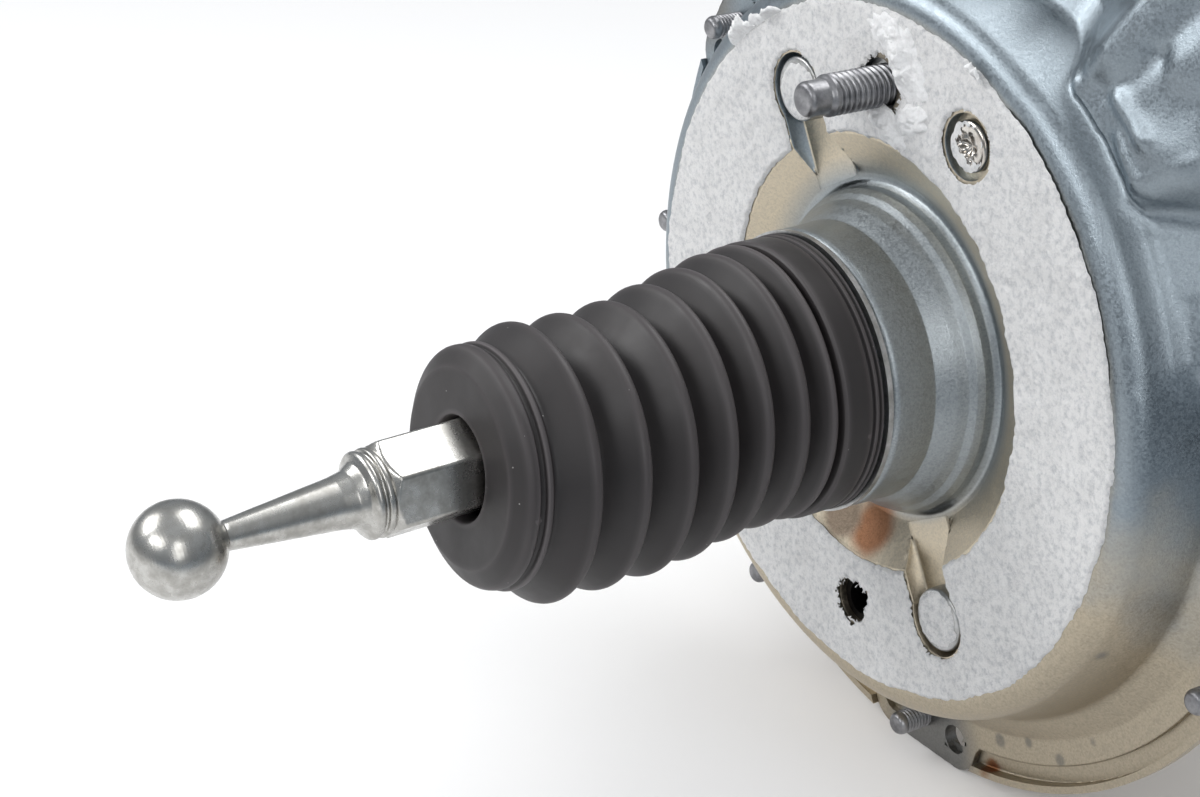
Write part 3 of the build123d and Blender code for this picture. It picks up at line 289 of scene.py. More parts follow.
# Noise whose bumps are about size millimetres across, in object space.
def noise(tree, place, size, detail=3.0, rough=0.5, twist=0.0):
    sockets = {"Scale": 1000.0 / size, "Detail": detail, "Roughness": rough, "Distortion": twist}
    return addNode(tree, "ShaderNodeTexNoise", {"Vector": place}, sockets).outputs["Fac"]


# Cells about size millimetres across, in object space.
def cells(tree, place, size, **settings):
    return addNode(tree, "ShaderNodeTexVoronoi", {"Vector": place}, {"Scale": 1000.0 / size}, **settings)


def mixColour(tree, fac, a, b, blend="MIX"):
    node = addNode(tree, "ShaderNodeMix", data_type="RGBA", blend_type=blend)
    for socket, value in ((node.inputs[0], fac), (node.inputs[6], a), (node.inputs[7], b)):
        feed(tree, socket, value)
    return node.outputs[2]


def bump(tree, height, strength, distance, below=None):
    links = {"Height": height}
    if below is not None:
        links["Normal"] = below
    sockets = {"Strength": strength, "Distance": distance * mm}
    return addNode(tree, "ShaderNodeBump", links, sockets).outputs["Normal"]


def objectPlace(tree):
    return addNode(tree, "ShaderNodeTexCoord").outputs["Object"]


def finishShader(tree, shader, colour, roughness, normal, **constants):
    feed(tree, shader.inputs["Base Color"], colour)
    feed(tree, shader.inputs["Roughness"], roughness)
    feed(tree, shader.inputs["Normal"], normal)
    for key, value in constants.items():
        shader.inputs[key.replace("_", " ")].default_value = value


# 1 round a point in object space, falling to 0 at size millimetres from it; grain makes its edge ragged.
def spot(tree, place, centre, size, grain, spread):
    middle = {1: [c * mm for c in centre]}
    node = addNode(tree, "ShaderNodeVectorMath", {0: place}, middle, operation="DISTANCE")
    moved = reckon(tree, "MULTIPLY_ADD", grain, -spread * mm, 0.5 * spread * mm)
    away = reckon(tree, "ADD", node.outputs["Value"], moved)
    return mapRange(tree, away, 0.45 * size * mm, size * mm, 1.0, 0.0, interpolation_type="SMOOTHSTEP")


# Galvanised deep-drawn steel sheet, passivated: sandy crystal grain, a dull drawn neck, a tan painted
# reflection of the floor on the flats round it and on the lower wall, blue-grey side walls, rust, a few
# stains and painted shade round the stud's and the insert's holes.
zinc = {
    "side": "98a2a9", "lowerReflection": "c2b7a3", "flatReflection": "d2c7b2", "neck": "a3a9ac", "rough": (0.32, 0.50),
    # centre, radius, colour, how far the edge strays
    "stainsAndShade": [
        ((1.0, 3.0, -37.5), 7.5, "a5785a", 8.0), ((-8.0, 3.0, -38.4), 6.0, "8f8070", 6.0),
        # the two dark patches round the stud's hole and the insert's hole are painted shade for the shadow in
        # those holes
        ((0.0, 1.5, 54.0), 8.5, "3a3836", 2.0), ((0.0, 1.5, -54.0), 7.0, "2c2a29", 1.0),
        ((73.5, -3.0, -15.5), 4.5, "969b9e", 2.5), ((66.0, 6.0, -38.0), 2.4, "96948e", 1.5),
        ((24.0, 21.0, -81.2), 2.0, "9a958a", 1.5), ((32.3, 21.0, -77.3), 1.5, "9a958a", 1.2),
        ((41.6, 21.0, -76.6), 1.8, "9a958a", 1.5), ((50.0, 20.0, -68.0), 1.6, "9a958a", 1.5),
        ((3.0, 21.5, -92.0), 19.0, "8a8a88", 5.0), ((21.0, 22.0, -90.0), 3.0, "96694a", 2.0),
        ((-88.0, 21.5, 50.0), 16.0, "8a8a88", 5.0),
    ],
}


def zincSheet(name):
    material, tree, shader = newMaterial(name)
    place = objectPlace(tree)
    grain = noise(tree, place, 0.5, 4.0, 0.7)
    cloud = noise(tree, place, 26.0, 4.0, 0.55)
    flat = addNode(
        tree, "ShaderNodeVectorMath", {0: place}, {1: (1.0, 0.0, 1.0)}, operation="MULTIPLY").outputs[0]
    away = addNode(tree, "ShaderNodeVectorMath", {0: flat}, operation="LENGTH").outputs["Value"]
    reach = mapRange(tree, away, 0.0, 0.1)  # 1 is 100 mm from the axis
    # Below the axis the blue-grey side turns tan: a painted reflection of the floor.
    lifted = reckon(tree, "MULTIPLY_ADD", cloud, 0.07, -0.035)
    level = reckon(tree, "ADD", axisOf(tree, place, "Z"), lifted)
    side = mixColour(tree, mapRange(tree, level, 0.0, -0.035), zinc["side"], zinc["lowerReflection"])
    facing = axisOf(tree, addNode(tree, "ShaderNodeNewGeometry").outputs["Normal"], "Y")
    # Flats round the neck that face the pedal turn a paler tan: a painted reflection of the floor.
    flatOn = mapRange(tree, facing, -0.55, -0.8)
    flatReflection = ramp(tree, reach, [(0.33, 0.0), (0.39, 1.0), (0.66, 1.0), (0.70, 0.0)])
    wide = mixColour(tree, reckon(tree, "MULTIPLY", flatReflection, flatOn), side, zinc["flatReflection"])
    neck = ramp(tree, reach, [(0.0, 1.0), (0.325, 1.0), (0.35, 0.0)])
    base = mixColour(tree, neck, wide, zinc["neck"])
    # Stains, and the painted shade round the stud's and the insert's holes.
    for centre, size, colour, spread in zinc["stainsAndShade"]:
        stain = spot(tree, place, centre, size, cloud if spread > 3 else grain, spread)
        base = mixColour(tree, stain, base, colour)
    crystals = cells(tree, place, 0.42).outputs["Color"]
    cell = addNode(tree, "ShaderNodeSeparateColor", {"Color": crystals}).outputs["Red"]
    shade = ramp(tree, grain, [(0.32, 0.80), (0.60, 1.0)])
    sparkle = ramp(tree, cell, [(0.0, 0.66), (0.75, 0.95), (1.0, 1.0)])
    colour = mixColour(tree, 0.6, mixColour(tree, 0.7, base, shade, "MULTIPLY"), sparkle, "MULTIPLY")
    rough = ramp(tree, cell, [(0.0, zinc["rough"][0]), (1.0, zinc["rough"][1])])
    finishShader(tree, shader, colour, rough, bump(tree, grain, 0.6, 0.10), Metallic=1.0)
    return material


# Zinc-plated or phosphated turned steel: fine marks round the axis and small stains.
def turnedSteel(name, light, dark, rough, marks=0.12, markSize=0.18):
    material, tree, shader = newMaterial(name)
    place = objectPlace(tree)
    stain = noise(tree, place, 3.0, 5.0, 0.65)
    stretch = addNode(tree, "ShaderNodeMapping", {"Vector": place}, {"Scale": (0.15, 1.0, 0.15)}).outputs[0]
    lines = noise(tree, stretch, markSize, 2.0)
    colour = mixColour(tree, ramp(tree, stain, [(0.35, 0.0), (0.65, 1.0)]), light, dark)
    roughness = ramp(tree, stain, [(0.3, rough), (0.75, rough + 0.14)])
    finishShader(tree, shader, colour, roughness, bump(tree, lines, marks, 0.03), Metallic=1.0)
    return material


# Moulded soft rubber: matt skin with fine orange peel, paler sharp edges that are a painted highlight, and a
# few dust specks.
def mouldedRubber(name, colour, crest, edgeHighlight, rough=0.5):
    material, tree, shader = newMaterial(name)
    place = objectPlace(tree)
    skin = noise(tree, place, 0.35, 4.0, 0.6)
    cloud = noise(tree, place, 9.0, 4.0, 0.6)
    specks = cells(tree, place, 2.6)
    edge = addNode(tree, "ShaderNodeNewGeometry").outputs["Pointiness"]
    base = mixColour(tree, cloud, colour, crest)
    # Paler where an edge is sharp, as on the folds' crests: a painted highlight.
    base = mixColour(tree, ramp(tree, edge, [(0.505, 0.0), (0.54, 1.0)]), base, edgeHighlight)
    dust = ramp(tree, specks.outputs["Distance"], [(0.0, 1.0), (0.045, 1.0), (0.06, 0.0)])
    keep = ramp(tree, specks.outputs["Color"], [(0.72, 0.0), (0.78, 1.0)])
    dusty = mixColour(tree, reckon(tree, "MULTIPLY", dust, keep), base, "8d8a88")
    roughness = ramp(tree, cloud, [(0.3, rough - 0.06), (0.7, rough + 0.08)])
    finishShader(tree, shader, dusty, roughness, bump(tree, skin, 0.18, 0.06), Specular_IOR_Level=0.45)
    return material


# Needle-punched polyester fleece: short tangled fibres and small thin places where the steel shows through.
def needledFleece(name, light, grey):
    material, tree, shader = newMaterial(name)
    place = objectPlace(tree)
    tangle = noise(tree, place, 0.62, 5.0, 0.72, 1.2)
    thin = noise(tree, place, 1.6, 6.0, 0.75)
    fibre = cells(tree, place, 0.5, feature="DISTANCE_TO_EDGE").outputs["Distance"]
    patches = ramp(tree, thin, [(0.34, grey), (0.54, light)])
    shade = ramp(tree, tangle, [(0.3, 0.90), (0.6, 1.0)])
    mottle = ramp(tree, noise(tree, place, 7.0, 2.0), [(0.35, 0.94), (0.6, 1.0)])
    colour = mixColour(tree, 1.0, mixColour(tree, 1.0, patches, shade, "MULTIPLY"), mottle, "MULTIPLY")
    normal = bump(tree, fibre, 0.4, 0.10, bump(tree, tangle, 0.9, 0.34))
    finishShader(tree, shader, colour, 0.95, normal, Specular_IOR_Level=0.15, Sheen_Weight=0.25)
    return material


# Moulded plastic, felt or wire: one colour with a fine grain.
def plain(name, colour, dark, rough, metallic=0.0, size=1.5):
    material, tree, shader = newMaterial(name)
    grain = noise(tree, objectPlace(tree), size, 4.0, 0.6)
    shade = mixColour(tree, grain, colour, dark)
    finishShader(tree, shader, shade, rough, bump(tree, grain, 0.2, 0.08), Metallic=metallic)
    return material


print("materials")
studSteel = turnedSteel("grey_stud_steel", "9c9c9e", "77777a", 0.34)
screwSteel = turnedSteel("bright_screw_steel", "d3cfc9", "a79f96", 0.16)
# Near-black steel for the threaded insert: painted shade for the shadow inside its bore.
insertShadeSteel = turnedSteel("insert_steel_painted_shade", "2d2c2b", "1f1e1e", 0.45)
looseFibre = needledFleece("loose_fleece_fibre", "fbfbfb", "ecebeb")
slotMaterials = {
    "shell_sheet": zincSheet("pressed_shell_zinc"),
    "plated_steel": turnedSteel("zinc_plated_steel", "c4c5c6", "9a9a98", 0.30),
    "polished_steel": turnedSteel("polished_ball_steel", "c3c2be", "a19f9a", 0.22, 0.08, 0.25),
    "spring_steel": plain("drawn_spring_wire", "5c5c60", "45454a", 0.35, 1.0),
    "boot_rubber": mouldedRubber("boot_rubber", "242122", "2e2a2a", "524d4e"),
    "seal_rubber": mouldedRubber("seal_rubber", "2c2b2b", "343232", "3c3a3a"),
    "fleece": needledFleece("needled_fleece", "ecebea", "c6c7c9"),
    "phenolic": plain("moulded_phenolic", "3b2f26", "2b221c", 0.45),
    "nylon": plain("moulded_nylon", "2a2a2c", "202022", 0.4),
    "filter_felt": plain("filter_felt", "9b988f", "7d7a72", 0.95, 0.0, 0.6),
}
slotOf = {part["node"]: part["material_slot"] for part in frame["record"]["subparts"]}
# The threaded insert gets the near-black steel, which is painted shade.
for name, node in frame["nodes"].items():
    node.data.materials.clear()
    node.data.materials.append(insertShadeSteel if name == "threaded_insert" else slotMaterials[slotOf[name]])


print("rear shell")
shell = {
    "face": 0.8, "sheet": 1.5, "flange": 21.0, "seam": 22.5, "flangeRadius": 88.5,
    "trough": ((34.8, 43.6), (6.0, 0.8)),  # radii and stations of the trough's cone
    "lobeCircle": 91.0, "lobe": 6.0, "lobes": (2, 74, 110, 181.5, 235, 333),
    "ears": (148.0, 270.0), "earRadius": 6.7, "holeCircle": 88.8, "spread": 13.1, "hole": 3.2,
    "bulgeAngle": 47.0, "bulgeCircle": 88.0, "bulge": 16.0, "margin": 7.0, "bulgeTop": 7.6, "bulgeFall": 0.30,
    "sideHalf": 25.0, "sideSlope": 1.15, "outerSlope": 4.0,
    "apron": 9.0, "apronSlope": 1.15, "apronTurn": (3, 56),
    "rodCircle": 53.4, "rodAngles": (118.5, 298.5), "pocket": 7.3, "channel": 6.3, "pocketFloor": 4.8,
    "bed": (34.0, 60.2), "bedRound": 6.8, "bedHalf": 5.8, "bedMeet": 49.9,  # a pocket's floor
    "recess": polar(55.4, 62.4), "recessRadius": 6.2, "recessFloor": 2.8,
    "stud": (0, 54), "studHole": 5.3, "insert": (0, -54), "insertHole": 4.9,
    # how the flange's edge turns back inside: radius over its own, station
    "edge": ((0.0, 21.2), (0.0, 22.25), (-0.25, 22.48), (-5.0, 22.48)),
    # the patch with a finer grid round the bulge, in degrees
    "sector": (-14.4, 70.2),
    # radius and station of the section's corners: neck, steps, trough, plateau, shoulder and side wall
    "corners": [
        (25.4, -23.2), (25.5, -14.6), (27.3, -12.9), (27.5, -4.4), (28.4, -3.0), (29.6, -0.9), (30.5, 1.0),
        (31.5, 2.2), (32.2, 3.6), (32.4, 5.3), (33.4, 6.4), (34.8, 6.0), (43.6, 0.8), (73.4, 0.8),
        (77.6, 17.6), (83.2, 21.0)],
    "arcs": [1.5, 1.5, 0.5, 0.4, 2.0, 1.5, 1.0, 0.5, 0.6, 0.7, 1.4, 4.0, 5.0, 3.5, 3.0],
    # forms pressed in beside the bulge: degrees and radius at both ends, how far the form stands out
    # (negative is sunk) and its half width
    "pressings": [
        (50.0, 83.6, 44.0, 84.6, 0.9, 1.6), (43.6, 85.4, 41.8, 86.4, 0.8, 3.2),
        (46.0, 80.4, 40.6, 79.4, 0.55, 1.3), (60.5, 79.6, 55.8, 78.4, 0.5, 1.1),
        (61.0, 82.8, 56.2, 82.0, 0.7, 1.3), (57.0, 81.0, 47.0, 79.6, -0.7, 2.8),
        (51.6, 82.0, 50.2, 93.0, -0.8, 2.4), (54.5, 88.0, 55.0, 112.0, 1.3, 4.2),
        (51.0, 94.0, 51.8, 113.0, -0.8, 2.4), (48.0, 97.0, 47.6, 112.0, 1.1, 3.8),
        (43.5, 95.0, 36.0, 90.5, -0.8, 2.8), (24.0, 78.2, 14.0, 77.4, -0.35, 1.1),
        (13.5, 79.8, -1.0, 79.2, 0.6, 1.3), (12.0, 83.0, -2.0, 82.4, 0.6, 1.3)],
}
profile = filletPath(shell["corners"], shell["arcs"], 0.3)


# Distance from the axis to the far side of a circle, seen at each angle; 0 where it is missed.
def circleReach(theta, centreRadius, centreAngle, radius):
    delta = np.radians((theta - centreAngle + 180) % 360 - 180)
    across = centreRadius * np.sin(delta)
    hit = (np.abs(across) < radius) & (np.abs(delta) < 1.5)
    half = np.sqrt(np.maximum(radius ** 2 - across ** 2, 0))
    return np.where(hit, centreRadius * np.cos(delta) + half, 0.0)


# Radius of the flange's edge at each angle in degrees: the largest of its circle, the lobes, the ears
# (circles on a straight line between their two holes) and the bulge.
def rimReach(theta):
    reach = np.full(theta.shape, shell["flangeRadius"])
    for angle in shell["lobes"]:
        for inward in np.linspace(0, 5, 6):
            lobe = circleReach(theta, shell["lobeCircle"] - inward, angle, shell["lobe"] + 0.25 * inward)
            reach = np.maximum(reach, lobe)
    for angle in shell["ears"]:
        for turn in np.linspace(-0.5, 0.5, 9):
            middle = shell["holeCircle"] * math.cos(math.radians(shell["spread"] / 2))
            ring = middle / math.cos(math.radians(shell["spread"] * turn))
            place = angle + shell["spread"] * turn
            reach = np.maximum(reach, circleReach(theta, ring, place, shell["earRadius"]))
    bulge = circleReach(theta, shell["bulgeCircle"], shell["bulgeAngle"], shell["bulge"] + shell["margin"])
    return np.maximum(reach, bulge)


# Distance in the plane square to the axis from the straight line between two places.
def lineAway(x, z, a, b):
    dx, dz = b[0] - a[0], b[1] - a[1]
    t = np.clip(((x - a[0]) * dx + (z - a[1]) * dz) / (dx * dx + dz * dz), 0, 1)
    return np.hypot(x - a[0] - t * dx, z - a[1] - t * dz)


# Rear surface of the pressed bulge: a gently falling top whose sides fall steeply outwards and less steeply
# to both sides, joined to an apron that falls from the shoulder over some angles. It is large elsewhere.
def bulgeStation(x, z):
    c, s = polar(1, shell["bulgeAngle"])
    along, across = x * c + z * s, -x * s + z * c
    past = np.maximum(along - shell["bulgeCircle"], 0)
    outerSide = shell["seam"] - (shell["bulge"] + 3.0 - past) * shell["outerSlope"]
    bothSides = shell["seam"] - (shell["sideHalf"] - np.abs(across)) * shell["sideSlope"]
    top = shell["bulgeTop"] + shell["bulgeFall"] * np.maximum(along - 80, 0)
    turn, r = np.degrees(np.arctan2(z, x)), np.hypot(x, z)
    first, last = shell["apronTurn"]
    within = smooth01((turn - first) / 14) * smooth01((last - turn) / 10)
    apron = shell["apron"] + np.maximum(r - 76.0, 0) * shell["apronSlope"] + 14.0 * (1 - within)
    lift = softMin(softMax(top, softMax(outerSide, bothSides, 5.0), 4.0), apron, 5.0)
    return np.where(along > 40, lift, 40.0)


# How far the small forms beside the bulge stand out: each is a bell curve of the distance from its line.
def pressed(x, z):
    out = 0.0 * x
    for t0, r0, t1, r1, high, half in shell["pressings"]:
        out = out + high * np.exp(-(lineAway(x, z, polar(r0, t0), polar(r1, t1)) / half) ** 2)
    return out * smooth01((np.hypot(x, z) - 75.5) / 2.5)


# Signed distance to a tie rod's keyhole pocket, a circle with a straight channel inwards; negative inside.
def keyhole(x, z, angle):
    c, s = polar(1, angle)
    along, across = x * c + z * s, -x * s + z * c
    ring = np.hypot(along - shell["rodCircle"], across) - shell["pocket"]
    ends = np.maximum(along - shell["rodCircle"], 20 - along)
    return np.minimum(ring, np.maximum(np.abs(across) - shell["channel"], ends))


def roundHole(cx, cz, radius):
    return lambda x, z: np.hypot(x - cx, z - cz) - radius


# Moves the grid points nearest to each outline onto it, so that a cut along faces follows the outline.
def snap(grid, keep, fields, reach):
    x, z = grid[..., 0], grid[..., 2]
    for field in fields:
        d = field(x, z)
        gx = (field(x + 0.01, z) - d) / 0.01
        gz = (field(x, z + 0.01) - d) / 0.01
        near = keep & (np.abs(d) < reach)
        x[near] -= (d * gx)[near]
        z[near] -= (d * gz)[near]


# The sheet over some angles in degrees: the profile turned about the axis, then the flange out to its edge,
# over the edge and back inside. The bulge and its pressings then move it along the axis.
def shellGrid(theta, path, flangeRows):
    angles = np.radians(theta)
    reach = rimReach(theta)
    start = path[-1, 0]
    steps = np.linspace(0, 1, flangeRows + 1)[1:]
    rings = [(start + (reach - 0.25 - start) * t, shell["flange"]) for t in steps]
    rings += [(reach + extra, station) for extra, station in shell["edge"]]
    flange = np.stack([turned(r, y, angles) for r, y in rings])
    grid = np.vstack([turned(path[:, :1], path[:, 1:], angles), flange])
    front = grid[:-3]
    x, z = front[..., 0], front[..., 2]
    outer = np.hypot(x, z) > 60
    front[..., 1] = np.where(outer, softMin(front[..., 1], bulgeStation(x, z), 9.0), front[..., 1])
    front[..., 1] -= np.where(outer, pressed(x, z), 0.0)
    return grid


# Wall of a round hole through the sheet, with a slightly rounded mouth.
def wallRing(cx, cz, radius, top, bottom, count=40, lip=0.2):
    a = circle(count)
    rings = [
        (radius + lip, top), (radius + 0.3 * lip, top + 0.3 * lip), (radius, top + lip), (radius, bottom)]
    return gridPart(np.stack([turned(r, y, a, cx, cz) for r, y in rings]))


# Points along a keyhole pocket's outline from one side of its channel round its end to the other.
def keyholeOutline(angle, grow, count=60):
    half, ring = shell["channel"] + grow, shell["pocket"] + grow
    meet = math.asin(half / ring)
    straight = np.linspace(shell["bed"][0], shell["rodCircle"] - ring * math.cos(meet), 18)
    turnRound = np.linspace(math.pi - meet, -(math.pi - meet), count)
    along = np.concatenate([straight, shell["rodCircle"] + ring * np.cos(turnRound), straight[::-1]])
    across = np.concatenate([np.full(18, half), ring * np.sin(turnRound), np.full(18, -half)])
    c, s = polar(1, angle)
    return along * c - across * s, along * s + across * c


# A keyhole pocket's wall, from a rounded mouth on the sheet or on the trough's cone down to its floor.
def pocketWall(angle):
    rings = []
    floor = shell["pocketFloor"]
    for grow, depth in ((0.35, 0.0), (0.1, 0.1), (0.0, 0.4), (0.0, None), (-0.5, None)):
        x, z = keyholeOutline(angle, grow)
        top = np.minimum(np.interp(np.hypot(x, z), *shell["trough"]), floor + 0.02)
        if depth is None:
            y = np.full(x.shape, floor - 0.25 if grow == 0.0 else floor)
        else:
            y = np.maximum(np.minimum(top + depth, floor), top)
        rings.append(points(x, y, z))
    return gridPart(np.stack(rings), False)


# A keyhole pocket's flat floor: rows across it, as wide as the keyhole is at each distance from the axis.
def pocketBed(angle):
    c, s = polar(1, angle)
    along = np.linspace(*shell["bed"], 40)
    roundEnd = np.sqrt(np.maximum(shell["bedRound"] ** 2 - (along - shell["rodCircle"]) ** 2, 0.01))
    across = np.linspace(-1, 1, 21)[:, None] * np.where(along < shell["bedMeet"], shell["bedHalf"], roundEnd)
    return gridPart(points(along * c - across * s, shell["pocketFloor"], along * s + across * c), False)


earHoles = [
    polar(shell["holeCircle"], angle + turn * shell["spread"] / 2)
    for angle in shell["ears"] for turn in (-1, 1)]
shellCuts = [lambda x, z, a=a: keyhole(x, z, a) for a in shell["rodAngles"]]
shellCuts += [
    roundHole(*shell["recess"], shell["recessRadius"]), roundHole(*shell["stud"], shell["studHole"]),
    roundHole(*shell["insert"], shell["insertHole"])]
shellCuts += [roundHole(*place, shell["hole"]) for place in earHoles]

# The whole sheet on one grid, without its openings and without the sector that the finer patch covers.
mainGrid = shellGrid(np.arange(0, 360, 0.9), profile, 13)
rowRadius = np.hypot(mainGrid[:, 0, 0], mainGrid[:, 0, 2])
station = mainGrid[..., 1]
flat = (np.abs(station - shell["face"]) < 0.01) | (np.abs(station - shell["flange"]) < 0.01)
cone = ((rowRadius > shell["trough"][0][0]) & (rowRadius < 44))[:, None]
snap(mainGrid, flat | cone, shellCuts, 0.6)
away = np.hypot(mainGrid[..., 0], mainGrid[..., 2])
onCone = np.maximum(np.interp(away, *shell["trough"]), shell["face"])
mainGrid[..., 1] = np.where(cone & (away < 43.4), onCone, station)
verts, quads = gridPart(mainGrid)
middle = centreOf(verts, quads)
away = np.hypot(middle[:, 0], middle[:, 2])
drop = np.zeros(len(quads), bool)
for k, field in enumerate(shellCuts):
    inside = field(middle[:, 0], middle[:, 2]) < 0
    if k < len(shell["rodAngles"]):
        inside &= middle[:, 1] < shell["pocketFloor"] - 0.02  # open only where the sheet is behind the floor
    drop |= inside & (middle[:, 1] < shell["seam"] + 0.1) & (away > 34.5)
turn = np.degrees(np.arctan2(middle[:, 2], middle[:, 0]))
patchRow = int(np.argmax(profile[:, 0] > 71.5))
inSector = (turn > shell["sector"][0]) & (turn < shell["sector"][1])
drop |= inSector & (quads[:, 0] // mainGrid.shape[1] >= patchRow)
parts = [(verts, quads[~drop])]
patchTheta = np.arange(shell["sector"][0], shell["sector"][1] + 0.01, 0.5)
patchTheta[-1] = shell["sector"][1]
parts.append(gridPart(shellGrid(patchTheta, profile[patchRow:], 46), False))
for angle in shell["rodAngles"]:
    parts += [pocketWall(angle), pocketBed(angle)]
wallEnd = shell["face"] + shell["sheet"]
floor = [
    turned(r, shell["recessFloor"], circle(40), *shell["recess"]) for r in (shell["recessRadius"], 4.0, 1.0)]
parts += [
    wallRing(*shell["recess"], shell["recessRadius"], shell["face"], shell["recessFloor"]),
    gridPart(np.stack(floor)),
    wallRing(*shell["stud"], shell["studHole"], shell["face"], wallEnd),
    wallRing(*shell["insert"], shell["insertHole"], shell["face"], wallEnd)]
parts += [wallRing(*place, shell["hole"], shell["flange"], shell["seam"], 32, 0.15) for place in earHoles]
addMesh(
    "rear_shell_sheet", *joinParts(parts), "housing", "shell_sheet", (0, -1, 0), replaced=["rear_shell"])


print("fleece")
fleeceRing = {
    "inner": 43.6, "outer": 69.0, "top": 0.12, "base": 0.78, "edge": 0.45,
    # height, size, seed
    "bumps": [(0.10, 0.9, 11), (0.12, 2.3, 12), (0.12, 6.0, 13)],
    # opening, seed, raggedness
    "cuts": [
        (lambda x, z: keyhole(x, z, shell["rodAngles"][0]) - 0.3, 20, 0.25),
        (lambda x, z: keyhole(x, z, shell["rodAngles"][1]) - 0.3, 21, 0.25),
        (roundHole(*shell["recess"], 6.7), 24, 0.2),
        (roundHole(1.0, 54.0, 6.1), 26, 0.9), (roundHole(-0.2, -54.0, 4.7), 28, 0.9),
    ],
}


# A field with two noise fields added, so that its outline looks torn.
def ragged(field, seed, amount):
    return lambda x, z: (
        field(x, z) + amount * valueNoise(x, z, 0.8, seed) + 0.5 * amount * valueNoise(x, z, 2.5, seed + 1))


# Fleece ring: rows between an inner and an outer radius that two noise fields each vary. Its height is the
# sum of three noise fields, and falls to the steel in a quarter circle at both edges.
def raggedRing():
    def wander(radius, scale, seed):
        return valueNoise(angles * radius, angles * 0, scale, seed)
    angles = circle(1000)
    inner = fleeceRing["inner"] + 0.25 * wander(44, 1.1, 3) + 0.3 * wander(44, 6, 4)
    outer = fleeceRing["outer"] + 0.22 * wander(69, 0.9, 5) + 0.35 * wander(69, 8, 6)
    r = inner + (outer - inner) * np.linspace(0, 1, 58)[:, None]
    x, z = r * np.cos(angles), r * np.sin(angles)
    top = fleeceRing["top"] - sum(
        amount * valueNoise(x, z, scale, seed) for amount, scale, seed in fleeceRing["bumps"])
    inward = np.minimum(r - inner, outer - r)
    fall = 1 - np.sqrt(np.clip(inward / fleeceRing["edge"], 0, 1))
    return points(x, np.where(inward < fleeceRing["edge"], top + (fleeceRing["base"] - top) * fall, top), z)


fleeceCuts = [ragged(*cut) for cut in fleeceRing["cuts"]]
grid = raggedRing()
snap(grid, np.ones(grid.shape[:2], bool), fleeceCuts, 0.28)
for field in fleeceCuts:
    near = np.clip(1 - np.abs(field(grid[..., 0], grid[..., 2])) / 0.5, 0, 1) ** 2
    grid[..., 1] += (0.75 - grid[..., 1]) * near
verts, quads = gridPart(grid)
middle = centreOf(verts, quads)
keep = np.ones(len(quads), bool)
for field in fleeceCuts:
    keep &= field(middle[:, 0], middle[:, 2]) > 0
gasket = addMesh(
    "fleece_gasket", verts, quads[keep], "housing", "fleece", (0, -1, 0), replaced=["mounting_gasket"])

print("loose fleece")
loose = {
    # on the tie rod heads, as radius, station and thickness, and their circle
    "heads": (5.6, 0.96, 0.45), "headCircle": 53.2,
    # on the recess screw, the same, and the place and radius of the hole over its socket
    "film": (4.45, 0.84, 0.16), "filmHole": (1.1, 0.8, 3.4),
    # centre, half lengths, turn, height, seed
    "fluffs": [
        (8.0, 60.5, 9.0, 4.8, -55, 2.3, 71), (3.5, 47.4, 7.4, 3.2, -25, 2.0, 75),
        (10.0, 50.0, 5.4, 3.6, 20, 1.4, 79), (3.0, 64.5, 7.5, 3.6, -12, 1.6, 83),
    ],
    # degrees, radius, length, width, lift, seed
    "flaps": [
        (66.4, 68.2, 5.5, 2.6, 1.6, 91), (128.0, 68.4, 9.0, 3.4, 2.2, 93),
        (118.5, 68.5, 6.0, 1.8, 2.6, 95), (123.5, 68.4, 7.0, 2.2, 1.2, 97),
    ],
}


# Torn fleece stuck to the tie rod heads and to the recess screw: a thin disc with a ragged edge, its height a
# noise field that falls to the metal at its edge.
def fleeceDisc(cx, cz, radius, station, thickness, seed, hole=None):
    a = circle(90)
    arc = a * radius
    rough = 1 + 0.05 * valueNoise(arc, 0 * a, 0.8, seed) + 0.06 * valueNoise(arc, 0 * a, 3.1, seed + 1)
    t = np.linspace(0, 1, 16)[:, None]
    reach = radius * rough * t
    x, z = cx + reach * np.cos(a), cz + reach * np.sin(a)
    rise = thickness * smooth01((1 - t) * 6) * (0.75 + 0.25 * valueNoise(x, z, 0.7, seed + 2))
    verts, quads = gridPart(points(x, station - rise, z))
    if hole is not None:
        middle = centreOf(verts, quads)
        quads = quads[hole(middle[:, 0], middle[:, 2]) > 0]
    return verts, quads


scraps = [
    fleeceDisc(*polar(loose["headCircle"], angle), *loose["heads"], 40 + 7 * k)
    for k, angle in enumerate(shell["rodAngles"])]
right, up, size = loose["filmHole"]
socketHole = ragged(roundHole(shell["recess"][0] + right, shell["recess"][1] + up, size), 66, 0.9)
scraps.append(fleeceDisc(*shell["recess"], *loose["film"], 61, socketHole))
addMesh("fleece_scraps", *joinParts(scraps), "housing", "fleece", (0, -1, 0))


# Fluff pulled up beside the stud: a patch given by its centre, half lengths and turn, whose height is a
# smooth round hump times noise. What lies below the fleece is left out.
def fluff(cx, cz, along, across, turn, height, seed):
    u = np.linspace(-1, 1, 60)[None]
    v = np.linspace(-1, 1, 44)[:, None]
    c, s = polar(1, turn)
    reach = 1 + 0.22 * valueNoise(u * 5 + 0 * v, v * 5, 1.3, seed)
    p, q = u * along * reach, v * across * reach
    x, z = cx + p * c - q * s, cz + p * s + q * c
    hump = smooth01(1 - np.sqrt(u ** 2 + v ** 2))
    lumps = 0.75 + 0.5 * valueNoise(x, z, 1.6, seed + 1) + 0.3 * valueNoise(x, z, 0.6, seed + 2)
    rise = height * hump * lumps
    y = 0.35 - np.maximum(rise, 0) - 0.5 * (hump > 0.03) * smooth01(hump * 8)
    verts, quads = gridPart(points(x, y, z), False)
    return verts, quads[centreOf(verts, quads)[:, 1] < 0.33]


